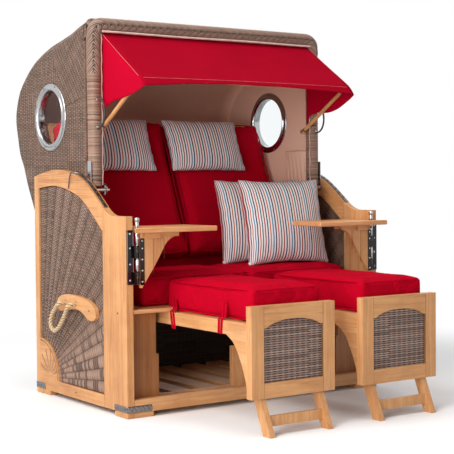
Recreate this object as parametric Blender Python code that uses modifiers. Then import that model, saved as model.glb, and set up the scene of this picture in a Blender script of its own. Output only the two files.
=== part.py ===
"""Hooded beach chair: a woven hood that tilts in a wooden base, with footrests, tables and an awning."""
import math

import bmesh
import bpy
import numpy as np
from mathutils import Matrix, Vector

# Driving dimensions in metres. x runs across the seat, y to the rear, z up, y = 0 at the base's middle.
GAP = 0.0004
BASE_WIDTH = 1.28
BASE_DEPTH = 0.793
SIDE_THICK = 0.032
FOOT_HEIGHT = 0.0205
FOOT_LENGTH = 0.06
POST_TOP = 0.785
POST_WIDTH = 0.185
ARCH_RISE = 0.187
SILL_TOP = 0.070
STILE_WIDTH = 0.038
RAIL_DROP_REAR = 0.058
RAIL_DROP_FRONT = 0.096
FAN_RADIUS = 0.172
EDGE_ROUND = 0.003
INNER_RAIL_THICK = 0.011
INNER_RAIL_WIDTH = 0.07
WICKER_THICK = 0.013
RIB_HEIGHT = 0.0035
PLATE_THICK = 0.016
ROPE_RADIUS = 0.0075
ROPE_HOLE = 0.0100
HOOD_PIVOT_Y = 0.12
HOOD_PIVOT_Z = 0.44
HOOD_CLEAR = 0.008
HOOD_SIDE_THICK = 0.026
HOOD_WALL = 0.028
POST_RADIUS = 0.029
BRAID_RADIUS = 0.031
POST_Y = -0.030
POST_BOTTOM = 0.90
RIM_TOP = 1.564
RIM_CORNER = 0.040
BRAID_LENGTH = 0.264
PORTHOLE_Y = 0.312
PORTHOLE_DROP = 0.365
PORTHOLE_RADIUS = 0.146
PORTHOLE_BORE = 0.128
GLASS_RADIUS = 0.118
GLASS_THICK = 0.004
BOLT_RADIUS = 0.008
AWNING_LOW = 0.420
AWNING_PIVOT_Y = -0.020
STRUT_RADIUS = 0.0085
AWNING_INSET = 0.045
AWNING_FRONT_Y = -0.318
AWNING_DROP = 0.242
CLOTH_THICK = 0.003
DECK_TOP = 0.421
DECK_THICK = 0.0156
DECK_REAR = 0.19
DECK_STEP = -0.02
CUSHION_BACK = 0.0155
SEAT_REAR = 0.055
SEAT_HEIGHT = 0.122
BACK_LEAN = 22.0
BOARD_THICK = 0.012
BOARD_LENGTH = 0.72
BOARD_STEP = 0.42
BACK_THICK = 0.10
PANEL_OUT = 0.5635
PANEL_THICK = 0.033
PANEL_LOW = 0.134
PANEL_TOP = 0.469
PANEL_WIDTH = 0.384
PANEL_OFFSET = 0.261
PANEL_STILE = 0.056
PANEL_OPEN_LOW = 0.189
PANEL_OPEN_SIDE = 0.388
PANEL_OPEN_PEAK = 0.417
TRAY_TOP = 0.405
TRAY_SIDE_LOW = 0.355
TRAY_INWARD = 0.1465
TRAY_HALF = 0.182
TRAY_BOARD = 0.018
STAND_BACK = 0.065
STAND_PIVOT_Z = 0.205
STAND_SPLAY = 0.025
STAND_HALF = 0.146
STAND_THICK = 0.023
STAND_DEPTH = 0.044
FOOT_CUSHION_HALF = 0.1634
FOOT_CUSHION_TOP = 0.530
TABLE_TOP = 0.742
TABLE_THICK = 0.02
TABLE_INSET = 0.011
TABLE_HINGE_OUT = 0.013
TABLE_CLEAR = 0.022
TABLE_OVERHANG = 0.0735
TABLE_INWARD = 0.1465
TABLE_LENGTH = 0.335
TABLE_PROUD = 0.002
BRACKET_WIDTH = 0.175
BRACKET_THICK = 0.018
BRACKET_LOW = 0.47
PIN_RADIUS = 0.0045
HINGE_LOW = 0.47
HINGE_TOP = 0.775
LOCK_RADIUS = 0.007
BOARD_BACK = 0.0625
STEP_Z = 0.233
BOARD_TOP = 0.405
ROPE_HOLE_SHARES = (0.27, 0.0)
ROPE_SHARE_Z = 0.03
# Rope's loop: shares of PLATE_LENGTH rearwards, upwards, and of ROPE_RADIUS outwards.
ROPE_LOOP_SHARES = [(0.27, 0.03, -1.0), (0.27, 0.031, 1.2), (0.272, 0.032, 2.6), (0.31, 0.01, 3.3),
                    (0.42, -0.05, 2.4), (0.52, -0.12, 2.0), (0.57, -0.21, 2.0), (0.55, -0.29, 2.0),
                    (0.47, -0.325, 2.0), (0.36, -0.28, 2.0), (0.24, -0.18, 2.2), (0.12, -0.07, 2.8),
                    (0.035, 0.01, 3.3), (0.0, 0.032, 2.6), (0.0, 0.031, 1.2), (0.0, 0.03, -1.0)]
RIBS = 17
REAR_THICK = 0.022
REAR_TOP = 0.335
SLAT_DEPTH = 0.04
SLAT_THICK = 0.016
SLAT_WIDTH = 0.09
CENTRE_HALF = 0.100
CENTRE_NARROW = 0.055
BOARD_DEPTH = 0.022
BOARD_CHEEK = 0.150
BOARD_NOTCH = 0.012
PEG = 0.036
PEG_SHARE = 0.7
RATCHET_WIDTH = 0.014
RATCHET_THICK = 0.004
RATCHET_LAP = 0.0035
RATCHET_LENGTH = 0.22
SLOT_LENGTH = 0.014
SLOTS = 7
LOOP_DROP = 0.364
LOOP_HALF = 0.055
LOOP_OUT = 0.035
LOOP_FORWARD = 0.10
LOOP_RADIUS = 0.005
# A tube with flat facets reaches this share of its radius between its corners.
ROUND_SHARE = 0.975
RING_PROUD = 0.010
BOARD_FOOT_Y = 0.185
BOARD_FOOT_Z = 0.515
BACK_BOTTOM = 0.045
BACK_LENGTH = 0.655
BACK_INSET = 0.026
NECK_WIDTH = 0.40
NECK_HEIGHT = 0.25
NECK_THICK = 0.095
PILLOW = 0.42
PILLOW_THICK = 0.13
NECK_LEFT_X = 0.33
NECK_RIGHT_X = 0.157
NECK_UP = 0.585
SEAT_INSET = 0.070
PILLOW_LEAN = 20.0
PILLOW_X = 0.303
PILLOW_Y = -0.135
PILLOW_BACK_X = 0.225
PILLOW_BACK_Y = -0.010
AWNING_ROUND = 0.035
CANOPY_TOP_Y = -0.036
CANOPY_DROP = 0.0328
CANOPY_INSET = 0.035
CANOPY_HEM = 0.03
GUSSET_LIFT = 0.006
SHOULDER_SHARE = 0.93
TRAY_THICK = 0.018
TRAY_HEEL_OUT = 0.3885
# Curve under the tray's side board: share of the way to the panel and share of the way down.
WING_SHARES = [(0, 0), (0.18, 0.06), (0.40, 0.165), (0.63, 0.395), (0.85, 0.70), (0.96, 1.0)]
TRAY_CUSHION_GAP = 0.0023
RUNG_Z = 0.052
RUNG_HEIGHT = 0.038
RUNG_THICK = 0.016
PIN_OUT = 0.017
TABLE_EDGE = 0.02
CLEAT = 0.016
LEAF_OUT = 0.012
LEAF_THICK = 0.004
LEAF_PLATE = 0.028
ROLL_RADIUS = 0.008
KNUCKLE = 0.05
KNUCKLE_PITCH = 0.051
LOCK_Y = -0.040
LOCK_Z = 0.886
RING_HALF = 0.017
WIRE = 0.0028
BAIL_REACH = 0.06
BAIL_DROP = 0.055
SLEEVE = 0.0115
SLEEVE_REACH = 0.062
STRAP_HALF = 0.013
STRAP_THICK = 0.003
STRAP_TOP = 1.005
LOCK_DEPTH = 0.008
LOCK_REACH = 0.088
LOCK_DEGREES = (-8, 24)
PLATE_LENGTH = 0.34
PLATE_Y = 0.0
PLATE_Z = 0.405
HOOD_REACH = 0.712
HOOD_DROP = 0.430
HOOD_BASE = 0.46
LEAN = math.radians(BACK_LEAN)

HALF = BASE_WIDTH / 2
INNER = HALF - SIDE_THICK
FRONT = -BASE_DEPTH / 2
REAR = BASE_DEPTH / 2
POST_BACK = FRONT + POST_WIDTH
STILE_FRONT = REAR - STILE_WIDTH
HOOD_HALF = INNER - HOOD_CLEAR
POST_X = HOOD_HALF - POST_RADIUS
AWNING_X = POST_X - AWNING_INSET
CANOPY_HALF = POST_X - CANOPY_INSET
BACK_HALF = POST_X - BACK_INSET
SEAT_HALF = HOOD_HALF - SEAT_INSET
SLEEVE_INNER = HOOD_HALF - SLEEVE_REACH
LOCK_INNER = HOOD_HALF - LOCK_REACH
TABLE_AXIS_X = INNER - TABLE_INSET
TABLE_OUTER = HALF + TABLE_PROUD
TABLE_INNER = TABLE_AXIS_X - TABLE_LENGTH
TABLE_PASS = INNER - HOOD_CLEAR
BOARD_INNER = INNER - BOARD_CHEEK
BOARD_UPPER = INNER - BOARD_CHEEK + BOARD_NOTCH
PANEL_Y = FRONT - PANEL_OUT
STAND_PIVOT_Y = PANEL_Y + STAND_BACK
STAND_FOOT_Y = PANEL_Y - STAND_SPLAY
TABLE_AXIS_Y = FRONT - TABLE_HINGE_OUT
TABLE_NEAR = FRONT - TABLE_OVERHANG
TABLE_FAR = FRONT + TABLE_INWARD
BOARD_Y = FRONT + BOARD_BACK
CUSHION_FRONT = FRONT + CUSHION_BACK
TRAY_REAR = FRONT + TRAY_INWARD
TRAY_HEEL_Y = FRONT - TRAY_HEEL_OUT
TRAY_CUSHION_REAR = FRONT + TRAY_CUSHION_GAP
RATCHET_START = POST_BACK - RATCHET_LAP
RATCHET_END = RATCHET_START + RATCHET_LENGTH
BRAID_START = RIM_TOP - BRAID_LENGTH
HOOD_RISE = RIM_TOP - HOOD_DROP
CANOPY_TOP_Z = RIM_TOP - CANOPY_DROP
AWNING_FRONT_Z = RIM_TOP - AWNING_DROP
AWNING_PIVOT_Z = RIM_TOP - AWNING_LOW
GUSSET_LOW = AWNING_PIVOT_Z + GUSSET_LIFT
PORTHOLE_Z = RIM_TOP - PORTHOLE_DROP
LOOP_Z = RIM_TOP - LOOP_DROP

# Outline of a side's top edge: share of the depth from the front, share of ARCH_RISE above POST_TOP.
ARCH_SHARES = [(0, 0), (0.115, 0), (0.158, 0.022), (0.220, 0.145), (0.326, 0.473), (0.434, 0.758),
               (0.548, 0.914), (0.726, 1.0), (0.86, 0.955), (1.0, 0.85)]
# Grip plate's outline: share of PLATE_LENGTH rearwards and of PLATE_LENGTH upwards from its middle.
PLATE_SHARES = [(0.50, 0.00), (0.44, 0.09), (0.28, 0.135), (0.06, 0.14), (-0.16, 0.125), (-0.36, 0.085),
                (-0.49, 0.00), (-0.50, -0.09), (-0.42, -0.135), (-0.30, -0.125), (-0.20, -0.07),
                (-0.06, -0.03), (0.10, -0.035), (0.26, -0.06), (0.42, -0.075)]
# Hood's outer line seen from the side, in shares of HOOD_REACH behind the posts and of HOOD_RISE above the lobe.
HOOD_SHARES = [(0.0455, 0.989), (0.070, 0.985), (0.130, 0.976), (0.221, 0.959), (0.350, 0.942),
               (0.489, 0.925), (0.631, 0.898), (0.732, 0.871), (0.837, 0.829), (0.930, 0.776),
               (0.985, 0.709), (1.0, 0.650), (0.978, 0.585), (0.944, 0.511), (0.892, 0.459),
               (0.837, 0.385), (0.757, 0.300), (0.680, 0.212), (0.610, 0.130), (0.555, 0.050), (0.515, 0.0)]
# Side wall's front and lower line in the same shares.
LOBE_SHARES = [(0.44, -0.02), (0.34, -0.075), (0.22, -0.078), (0.13, -0.03), (0.10, 0.06), (0.078, 0.16),
               (0.043, 0.38), (0.043, 0.60)]

for leftover in list(bpy.data.objects):
    bpy.data.objects.remove(leftover, do_unlink=True)
CHAIR = bpy.data.collections.new("hooded_beach_chair")
CUTTERS = bpy.data.collections.new("cutters")
ROOT = bpy.data.objects.new("frame_shift", None)
PALETTE = {
    "teak": ((0.55, 0.29, 0.11), 0.0, 0.45), "wicker": ((0.21, 0.15, 0.11), 0.0, 0.5),
    "dark_wicker": ((0.10, 0.07, 0.05), 0.0, 0.5), "rope": ((0.62, 0.47, 0.27), 0.0, 0.9),
    "chrome": ((0.75, 0.75, 0.76), 1.0, 0.15), "glass": ((0.85, 0.9, 0.92), 0.0, 0.05),
    "red_fabric": ((0.52, 0.005, 0.02), 0.0, 0.85), "striped_fabric": ((0.75, 0.74, 0.72), 0.0, 0.85),
    "black_loop": ((0.02, 0.02, 0.02), 0.0, 0.5)}


def link_collections():
    for coll in (CHAIR, CUTTERS):
        bpy.context.scene.collection.children.link(coll)
    CUTTERS.hide_render = True
    CHAIR.objects.link(ROOT)


def material_for(name, slot):
    color, metallic, rough = PALETTE[slot]
    mat = bpy.data.materials.new(name)
    mat.use_nodes = True
    shader = mat.node_tree.nodes["Principled BSDF"]
    shader.inputs["Base Color"].default_value = (*color, 1)
    shader.inputs["Metallic"].default_value = metallic
    shader.inputs["Roughness"].default_value = rough
    if slot == "glass":
        shader.inputs["Transmission Weight"].default_value = 1
    return mat


def node(name, mesh, slot, smooth=None, collection=None):
    obj = bpy.data.objects.new(name, mesh)
    (collection or CHAIR).objects.link(obj)
    obj.parent = ROOT
    mesh.name = name
    if slot:
        mesh.materials.clear()
        mesh.materials.append(material_for(name, slot))
    if smooth is not None:
        mesh.shade_smooth()
        mesh.set_sharp_from_angle(angle=math.radians(smooth))
    if collection is CUTTERS:
        obj.display_type = "WIRE"
        obj.hide_render = True
    return obj


def clean(bm, merge=0.00005):
    bmesh.ops.remove_doubles(bm, verts=bm.verts, dist=merge)
    bmesh.ops.recalc_face_normals(bm, faces=bm.faces)


def to_mesh(bm):
    mesh = bpy.data.meshes.new("made")
    bm.to_mesh(mesh)
    bm.free()
    return mesh


def curve_mesh(curve):
    obj = bpy.data.objects.new("curve", curve)
    bpy.context.scene.collection.objects.link(obj)
    deps = bpy.context.evaluated_depsgraph_get()
    mesh = bpy.data.meshes.new_from_object(obj.evaluated_get(deps))
    bpy.data.objects.remove(obj, do_unlink=True)
    bm = bmesh.new()
    bm.from_mesh(mesh)
    clean(bm)
    return bm


# Rows turn a flat outline into its plane: across x, across y or across z.
PLANES = {"x": Matrix(((0, 0, 1, 0), (1, 0, 0, 0), (0, 1, 0, 0), (0, 0, 0, 1))),
          "y": Matrix(((1, 0, 0, 0), (0, 0, -1, 0), (0, 1, 0, 0), (0, 0, 0, 1))),
          "z": Matrix.Identity(4)}


def prism(outlines, axis, low, high):
    """An outline (with holes after it) given thickness from low to high along an axis."""
    curve = bpy.data.curves.new("outline", "CURVE")
    curve.dimensions = "2D"
    curve.fill_mode = "BOTH"
    for points in outlines:
        spline = curve.splines.new("POLY")
        spline.points.add(len(points) - 1)
        for point, place in zip(spline.points, points):
            point.co = (place[0], place[1], 0, 1)
        spline.use_cyclic_u = True
    curve.extrude = (high - low) / 2
    bm = curve_mesh(curve)
    middle = (low + high) / 2
    sign = -1 if axis == "y" else 1
    bmesh.ops.translate(bm, verts=bm.verts, vec=(0, 0, sign * middle))
    bmesh.ops.transform(bm, matrix=PLANES[axis], verts=bm.verts)
    return bm


def box(low, high):
    bm = bmesh.new()
    bmesh.ops.create_cube(bm, size=1)
    size = Vector(high) - Vector(low)
    bmesh.ops.scale(bm, vec=size, verts=bm.verts)
    bmesh.ops.translate(bm, vec=(Vector(high) + Vector(low)) / 2, verts=bm.verts)
    return bm


def tube(points, radii, sides=2, cyclic=False):
    """A round tube along points from a smooth curve, one radius for each point or one for all."""
    curve = bpy.data.curves.new("path", "CURVE")
    curve.dimensions = "3D"
    curve.bevel_depth = 1
    curve.bevel_resolution = sides
    curve.use_fill_caps = True
    spline = curve.splines.new("POLY")
    spline.points.add(len(points) - 1)
    many = radii if hasattr(radii, "__len__") else [radii] * len(points)
    for point, place, radius in zip(spline.points, points, many):
        point.co = (*place, 1)
        point.radius = radius
    spline.use_cyclic_u = cyclic
    return curve_mesh(curve)


def rod(start, end, radius, sides=16):
    bm = bmesh.new()
    line = Vector(end) - Vector(start)
    bmesh.ops.create_cone(bm, cap_ends=True, segments=sides, radius1=radius, radius2=radius,
                          depth=line.length)
    turn = line.to_track_quat("Z", "Y").to_matrix().to_4x4()
    bmesh.ops.transform(bm, matrix=Matrix.Translation((Vector(start) + Vector(end)) / 2) @ turn,
                        verts=bm.verts)
    return bm


def lathe(profile, centre, side, steps=32):
    """A closed profile of (radius, distance inwards along x) turned about the x axis through centre."""
    mesh = bpy.data.meshes.new("profile")
    count = len(profile)
    mesh.from_pydata([(radius, 0, -along) for radius, along in profile], [(i,
                     (i + 1) % count) for i in range(count)],
                     [])
    obj = bpy.data.objects.new("profile", mesh)
    bpy.context.scene.collection.objects.link(obj)
    screw = obj.modifiers.new("screw", "SCREW")
    screw.steps = steps
    screw.render_steps = steps
    screw.use_merge_vertices = True
    screw.merge_threshold = 0.00005
    deps = bpy.context.evaluated_depsgraph_get()
    made = bpy.data.meshes.new_from_object(obj.evaluated_get(deps))
    bpy.data.objects.remove(obj, do_unlink=True)
    bm = bmesh.new()
    bm.from_mesh(made)
    clean(bm)
    turn = Matrix.Rotation(math.radians(90) * side, 4, "Y")
    bmesh.ops.transform(bm, matrix=Matrix.Translation(centre) @ turn, verts=bm.verts)
    return bm


def combine(base, others, operation="UNION"):
    """Booleans with EXACT, one after the other, on meshes that are already closed."""
    obj = bpy.data.objects.new("whole", to_mesh(base))
    bpy.context.scene.collection.objects.link(obj)
    spares = []
    for other in others:
        tool = bpy.data.objects.new("tool", to_mesh(other))
        bpy.context.scene.collection.objects.link(tool)
        spares.append(tool)
        step = obj.modifiers.new("join", "BOOLEAN")
        step.operation = operation
        step.solver = "EXACT"
        step.object = tool
    deps = bpy.context.evaluated_depsgraph_get()
    made = bpy.data.meshes.new_from_object(obj.evaluated_get(deps))
    for spare in [obj] + spares:
        bpy.data.objects.remove(spare, do_unlink=True)
    bm = bmesh.new()
    bm.from_mesh(made)
    clean(bm, 0.00001)
    return bm


def rounded(bm, width=EDGE_ROUND, angle=50, segments=1):
    """Bevels the sharp edges of a plain body."""
    edges = [edge for edge in bm.edges if len(edge.link_faces) == 2
             and edge.calc_face_angle() > math.radians(angle)]
    bmesh.ops.bevel(bm, geom=edges, offset=width, segments=segments, affect="EDGES", clamp_overlap=True)
    clean(bm, 0.00001)
    return bm


def smooth_line(points, count, closed=False):
    """Points at even steps on a Catmull-Rom curve through the given ones."""
    given = [np.array(point, float) for point in points]
    if closed:
        given = [given[-1]] + given + given[:2]
    else:
        given = [2 * given[0] - given[1]] + given + [2 * given[-1] - given[-2]]
    dense = []
    for a, b, c, d in zip(given, given[1:], given[2:], given[3:]):
        for t in np.arange(12) / 12:
            dense.append((2 * b + (c - a) * t + (2 * a - 5 * b + 4 * c - d) * t ** 2
                          + (3 * b - a - 3 * c + d) * t ** 3) / 2)
    dense.append(given[-2])
    dense = np.array(dense)
    run = np.concatenate([[0], np.cumsum(np.linalg.norm(np.diff(dense, axis=0), axis=1))])
    stops = np.linspace(0, run[-1], count + 1 if closed else count)
    if closed:
        stops = stops[:-1]
    return [tuple(np.array([np.interp(stop, run, dense[:,
            k]) for k in range(dense.shape[1])])) for stop in stops]


def arch_points(count):
    line = smooth_line(ARCH_SHARES, count)
    return [(FRONT + share * BASE_DEPTH, POST_TOP + rise * ARCH_RISE) for share, rise in line]


ARCH = arch_points(60)


def arch_z(y):
    return float(np.interp(y, [p[0] for p in ARCH], [p[1] for p in ARCH]))


def opening_top(y):
    share = (y - POST_BACK) / (STILE_FRONT - POST_BACK)
    return arch_z(y) - RAIL_DROP_FRONT + (RAIL_DROP_FRONT - RAIL_DROP_REAR) * share


def circle(centre_u, centre_v, radius, count=24, start=0, end=360):
    full = abs(end - start) >= 360
    stops = count if full else count - 1
    return [(centre_u + radius * math.cos(math.radians(start + (end - start) * i / stops)),
             centre_v + radius * math.sin(math.radians(start + (end - start) * i / stops))) for i in range(count)]


def span(side, near, far):
    """Low and high x of something between two distances from the middle plane."""
    return (near, far) if side > 0 else (-far, -near)


def build_base(side, tag):
    low, high = span(side, INNER, HALF)
    ys = np.linspace(POST_BACK + GAP, REAR, 30)
    outer = [(float(y), arch_z(y)) for y in ys]
    opening = [(float(y), opening_top(y)) for y in np.linspace(POST_BACK + GAP, STILE_FRONT, 22)]
    fan = circle(STILE_FRONT, SILL_TOP, FAN_RADIUS, 12, 90, 180)
    outline = [(POST_BACK + GAP, FOOT_HEIGHT), (REAR - FOOT_LENGTH, FOOT_HEIGHT), (REAR - FOOT_LENGTH, 0),
               (REAR, 0)]
    outline += outer[::-1] + opening + fan + [(POST_BACK + GAP, SILL_TOP)]
    frame = prism([outline], "x", low, high)
    rail_low, rail_high = span(side, INNER + GAP, INNER + INNER_RAIL_THICK)
    left = HOOD_PIVOT_Y - INNER_RAIL_WIDTH / 2
    right = HOOD_PIVOT_Y + INNER_RAIL_WIDTH / 2
    rail = prism([[(left, SILL_TOP - EDGE_ROUND), (right, SILL_TOP - EDGE_ROUND), (right,
                 opening_top(right) + EDGE_ROUND),
                   (left, opening_top(left) + EDGE_ROUND)],
                  circle(HOOD_PIVOT_Y, HOOD_PIVOT_Z, BOLT_RADIUS + GAP)], "x", rail_low, rail_high)
    frame = combine(frame, [rail])
    # The lock bolt's tip runs in a curved groove round the tilt axis.
    half = LOCK_RADIUS + GAP * 2
    lead = math.degrees(half / lock_reach())
    stops = np.linspace(LOCK_DEGREES[0] - lead, LOCK_DEGREES[1] + lead, 24)
    groove = [lock_place(stop, half) for stop in stops] + [lock_place(stop, -half) for stop in stops[::-1]]
    cut_low, cut_high = span(side, INNER - GAP, INNER + LOCK_DEPTH + GAP)
    groove = prism([groove], "x", cut_low, cut_high)
    node("side_frame_" + tag, to_mesh(combine(frame, [groove], "DIFFERENCE")), "teak", 40)

    front_ys = [p for p in ARCH if p[0] < POST_BACK - 2 * GAP] + [(POST_BACK, arch_z(POST_BACK))]
    post = [(FRONT, 0), (FRONT + FOOT_LENGTH, 0), (FRONT + FOOT_LENGTH, FOOT_HEIGHT), (POST_BACK,
            FOOT_HEIGHT)]
    post += front_ys[::-1]
    node("front_post_" + tag, to_mesh(rounded(prism([post], "x", low, high), EDGE_ROUND)), "teak", 40)
    side_wicker(side, tag)

    plate = smooth_line([(PLATE_Y + u * PLATE_LENGTH, PLATE_Z + v * PLATE_LENGTH) for u, v in PLATE_SHARES],
                        44, True)
    holes = [circle(PLATE_Y + share * PLATE_LENGTH,
             PLATE_Z + PLATE_LENGTH * ROPE_SHARE_Z + ROPE_HOLE - ROPE_RADIUS - GAP,
                    ROPE_HOLE, 14)
             for share in ROPE_HOLE_SHARES]
    start = INNER + INNER_RAIL_THICK + WICKER_THICK + RIB_HEIGHT + GAP * 2
    low, high = span(side, start, start + PLATE_THICK)
    node("handle_plate_" + tag, to_mesh(prism([plate] + holes, "x", low, high)), "teak", 40)
    rope(side, tag, start)


def rope(side, tag, start):
    outside = start + PLATE_THICK
    places = []
    for u, v, out in ROPE_LOOP_SHARES:
        x = outside + out * ROPE_RADIUS if out > 0 else start + ROPE_RADIUS / 2
        places.append((side * x, PLATE_Y + u * PLATE_LENGTH, PLATE_Z + v * PLATE_LENGTH))
    node("carry_rope_" + tag, to_mesh(tube(smooth_line(places, 30), ROPE_RADIUS, 2)), "rope", 60)


def side_wicker(side, tag):
    """Sunburst infill: rays run from the fan block's arc to the opening's edge, with a raised rib on each."""
    edge = GAP
    rays = RIBS * 4 + 1
    rings = 4
    outline = [(y, opening_top(y) - edge) for y in np.linspace(STILE_FRONT - edge, POST_BACK + edge, 80)]
    outline += [(POST_BACK + edge, z) for z in np.linspace(opening_top(POST_BACK) - edge, SILL_TOP + edge,
                40)[1:]]
    outline = np.array(outline)
    offsets = outline - np.array([STILE_FRONT, SILL_TOP])
    angles = np.arctan2(offsets[:, 1], -offsets[:, 0])
    reaches = np.hypot(offsets[:, 0], offsets[:, 1])
    order = np.argsort(angles)
    start = math.asin(edge / (FAN_RADIUS + edge))
    turns = np.linspace(start, math.pi / 2 - start, rays)
    far = np.interp(turns, angles[order], reaches[order])
    far = np.minimum(far, (STILE_FRONT - POST_BACK - edge) / np.maximum(np.cos(turns), GAP))
    near = FAN_RADIUS + edge
    back = INNER + INNER_RAIL_THICK + GAP
    face = back + WICKER_THICK
    verts = []
    for layer in range(2):
        for i, turn in enumerate(turns):
            for j in range(rings):
                share = j / (rings - 1)
                reach = near + (far[i] - near) * share
                y = STILE_FRONT - reach * math.cos(turn)
                z = SILL_TOP + reach * math.sin(turn)
                y = min(y, STILE_FRONT - edge)
                z = max(z, SILL_TOP + edge)
                wave = 0.5 - 0.5 * math.cos(2 * math.pi * (i / 4))
                lift = RIB_HEIGHT * wave * (0.35 + 0.65 * math.sin(math.pi * min(1, 0.25 + share * 0.75)))
                verts.append((side * (face + lift) if layer == 0 else side * back, y, z))
    size = rays * rings
    faces = []
    for i in range(rays - 1):
        for j in range(rings - 1):
            a, b, c, d = i * rings + j, i * rings + j + 1, (i + 1) * rings + j + 1, (i + 1) * rings + j
            faces += [(a, b, c, d), (size + d, size + c, size + b, size + a)]
    loop = [i * rings for i in range(rays)] + [(rays - 1) * rings + j for j in range(1, rings)]
    loop += [i * rings + rings - 1 for i in range(rays - 2, -1, -1)] + list(range(rings - 2, 0, -1))
    for a, b in zip(loop, loop[1:] + loop[:1]):
        faces.append((b, a, size + a, size + b))
    mesh = bpy.data.meshes.new("rays")
    mesh.from_pydata(verts, [], faces)
    bm = bmesh.new()
    bm.from_mesh(mesh)
    bmesh.ops.recalc_face_normals(bm, faces=bm.faces)
    node("side_wicker_" + tag, to_mesh(bm), "wicker", 60)


def build_inside():
    inside = INNER - GAP
    rail = [(FRONT, FOOT_HEIGHT), (FRONT + FOOT_LENGTH, FOOT_HEIGHT), (FRONT + FOOT_LENGTH,
            SILL_TOP - EDGE_ROUND * 3),
            (FRONT + FOOT_LENGTH / 2, SILL_TOP), (FRONT, SILL_TOP)]
    node("front_rail", to_mesh(prism([rail], "x", -inside, inside)), "teak", 40)
    node("rear_panel", to_mesh(rounded(box((-inside, REAR - REAR_THICK, FOOT_HEIGHT + GAP), (inside,
         REAR - GAP, REAR_TOP)))),
         "dark_wicker", 40)
    front = FRONT + FOOT_LENGTH + GAP
    back = REAR - REAR_THICK - GAP
    slats = [box((-inside, y, FOOT_HEIGHT), (inside, y + SLAT_DEPTH, FOOT_HEIGHT + SLAT_THICK))
             for y in (front, back - SLAT_DEPTH)]
    count = 9
    pitch = (2 * inside - SLAT_WIDTH) / (count - 1)
    floor = [box((-inside + i * pitch, front, FOOT_HEIGHT + SLAT_THICK - GAP),
                 (-inside + i * pitch + SLAT_WIDTH, back,
                  FOOT_HEIGHT + 2 * SLAT_THICK)) for i in range(count)]
    node("floor_slats", to_mesh(combine(slats[0], slats[1:] + floor)), "teak", 40)
    board_front = BOARD_Y
    low = SILL_TOP + GAP
    half = CENTRE_HALF
    narrow = CENTRE_NARROW
    foot = FOOT_HEIGHT + 2 * SLAT_THICK + GAP
    right = [(inside, foot), (inside, BOARD_TOP), (BOARD_UPPER, BOARD_TOP), (BOARD_UPPER, STEP_Z),
             (BOARD_INNER, STEP_Z), (BOARD_INNER, low), (half, low), (half, STEP_Z), (narrow, STEP_Z),
             (narrow, BOARD_TOP)]
    outline = right + [(-u, v) for u, v in right[::-1]]
    planks = rounded(prism([outline], "y", board_front, board_front + BOARD_DEPTH), EDGE_ROUND / 3)
    pegs = []
    for side in (-1, 1):
        peg_low, peg_high = span(side, inside - PEG, inside - GAP)
        pegs.append(box((peg_low, board_front - PEG / 2, BOARD_TOP - PEG * PEG_SHARE),
                        (peg_high, board_front + GAP, BOARD_TOP)))
    node("front_boards", to_mesh(combine(planks, pegs)), "teak", 40)
    deck_low = DECK_TOP - DECK_THICK
    slim = HOOD_HALF - HOOD_SIDE_THICK - GAP * 4
    deck = [(slim, DECK_REAR), (slim, DECK_STEP), (inside, DECK_STEP), (inside, FRONT + EDGE_ROUND)]
    deck += [(-u, v) for u, v in deck[::-1]]
    node("seat_deck", to_mesh(rounded(prism([deck], "z", deck_low, DECK_TOP))), "teak", 40)


def build_ratchet(side, tag):
    """Slotted strip that lies on the S-curve, made as one ribbon along the arch with slots cut through."""
    middle = HALF - SIDE_THICK / 2
    low, high = span(side, middle - RATCHET_WIDTH / 2, middle + RATCHET_WIDTH / 2)
    line = [(float(y), arch_z(y) + GAP * 1.5) for y in np.linspace(RATCHET_START, RATCHET_END, 26)]
    upper = []
    for i, (y, z) in enumerate(line):
        a = line[max(i - 1, 0)]
        b = line[min(i + 1, len(line) - 1)]
        run = math.hypot(b[0] - a[0], b[1] - a[1])
        upper.append((y - (b[1] - a[1]) / run * RATCHET_THICK, z + (b[0] - a[0]) / run * RATCHET_THICK))
    strip = prism([line + upper[::-1]], "x", low, high)
    cuts = []
    for i in range(SLOTS):
        share = (i + 1) / (SLOTS + 1)
        y = RATCHET_START + (RATCHET_END - RATCHET_START) * share
        slope = math.atan2(arch_z(y + SLOT_LENGTH) - arch_z(y - SLOT_LENGTH), 2 * SLOT_LENGTH)
        cut = box((-RATCHET_WIDTH / 4, -SLOT_LENGTH / 2, -SLOT_LENGTH), (RATCHET_WIDTH / 4, SLOT_LENGTH / 2,
                  SLOT_LENGTH))
        place = Matrix.Translation((side * middle, y, arch_z(y))) @ Matrix.Rotation(slope, 4, "X")
        bmesh.ops.transform(cut, matrix=place, verts=cut.verts)
        cuts.append(cut)
    strip = combine(strip, cuts, "DIFFERENCE")
    outside = HALF + WIRE * 2
    end = RATCHET_END
    wire = [(outside, end + BAIL_REACH, arch_z(end) - BAIL_DROP), (outside, end + BAIL_REACH * 0.8,
            arch_z(end) - WIRE * 3),
            (outside, end + BAIL_REACH * 0.5, arch_z(end + BAIL_REACH * 0.5) + WIRE * 2),
            (outside - WIRE * 3, end + WIRE, arch_z(end) + WIRE * 3),
            (middle, end - WIRE * 2, arch_z(end) + WIRE * 1.6)]
    bail = tube([(side * x, y, z) for x, y, z in smooth_line(wire, 12)], WIRE, 1)
    node("ratchet_" + tag, to_mesh(combine(strip, [bail])), "chrome", 40)


def hood_line():
    points = [(POST_Y + u * HOOD_REACH, HOOD_BASE + v * HOOD_RISE) for u, v in HOOD_SHARES]
    return smooth_line(points, 46)


def inset(line, amount):
    """The same line moved inwards, to the right of its run."""
    moved = []
    for i, (y, z) in enumerate(line):
        a = line[max(i - 1, 0)]
        b = line[min(i + 1, len(line) - 1)]
        run = math.hypot(b[0] - a[0], b[1] - a[1])
        moved.append((y + (b[1] - a[1]) / run * amount, z - (b[0] - a[0]) / run * amount))
    return moved


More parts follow.
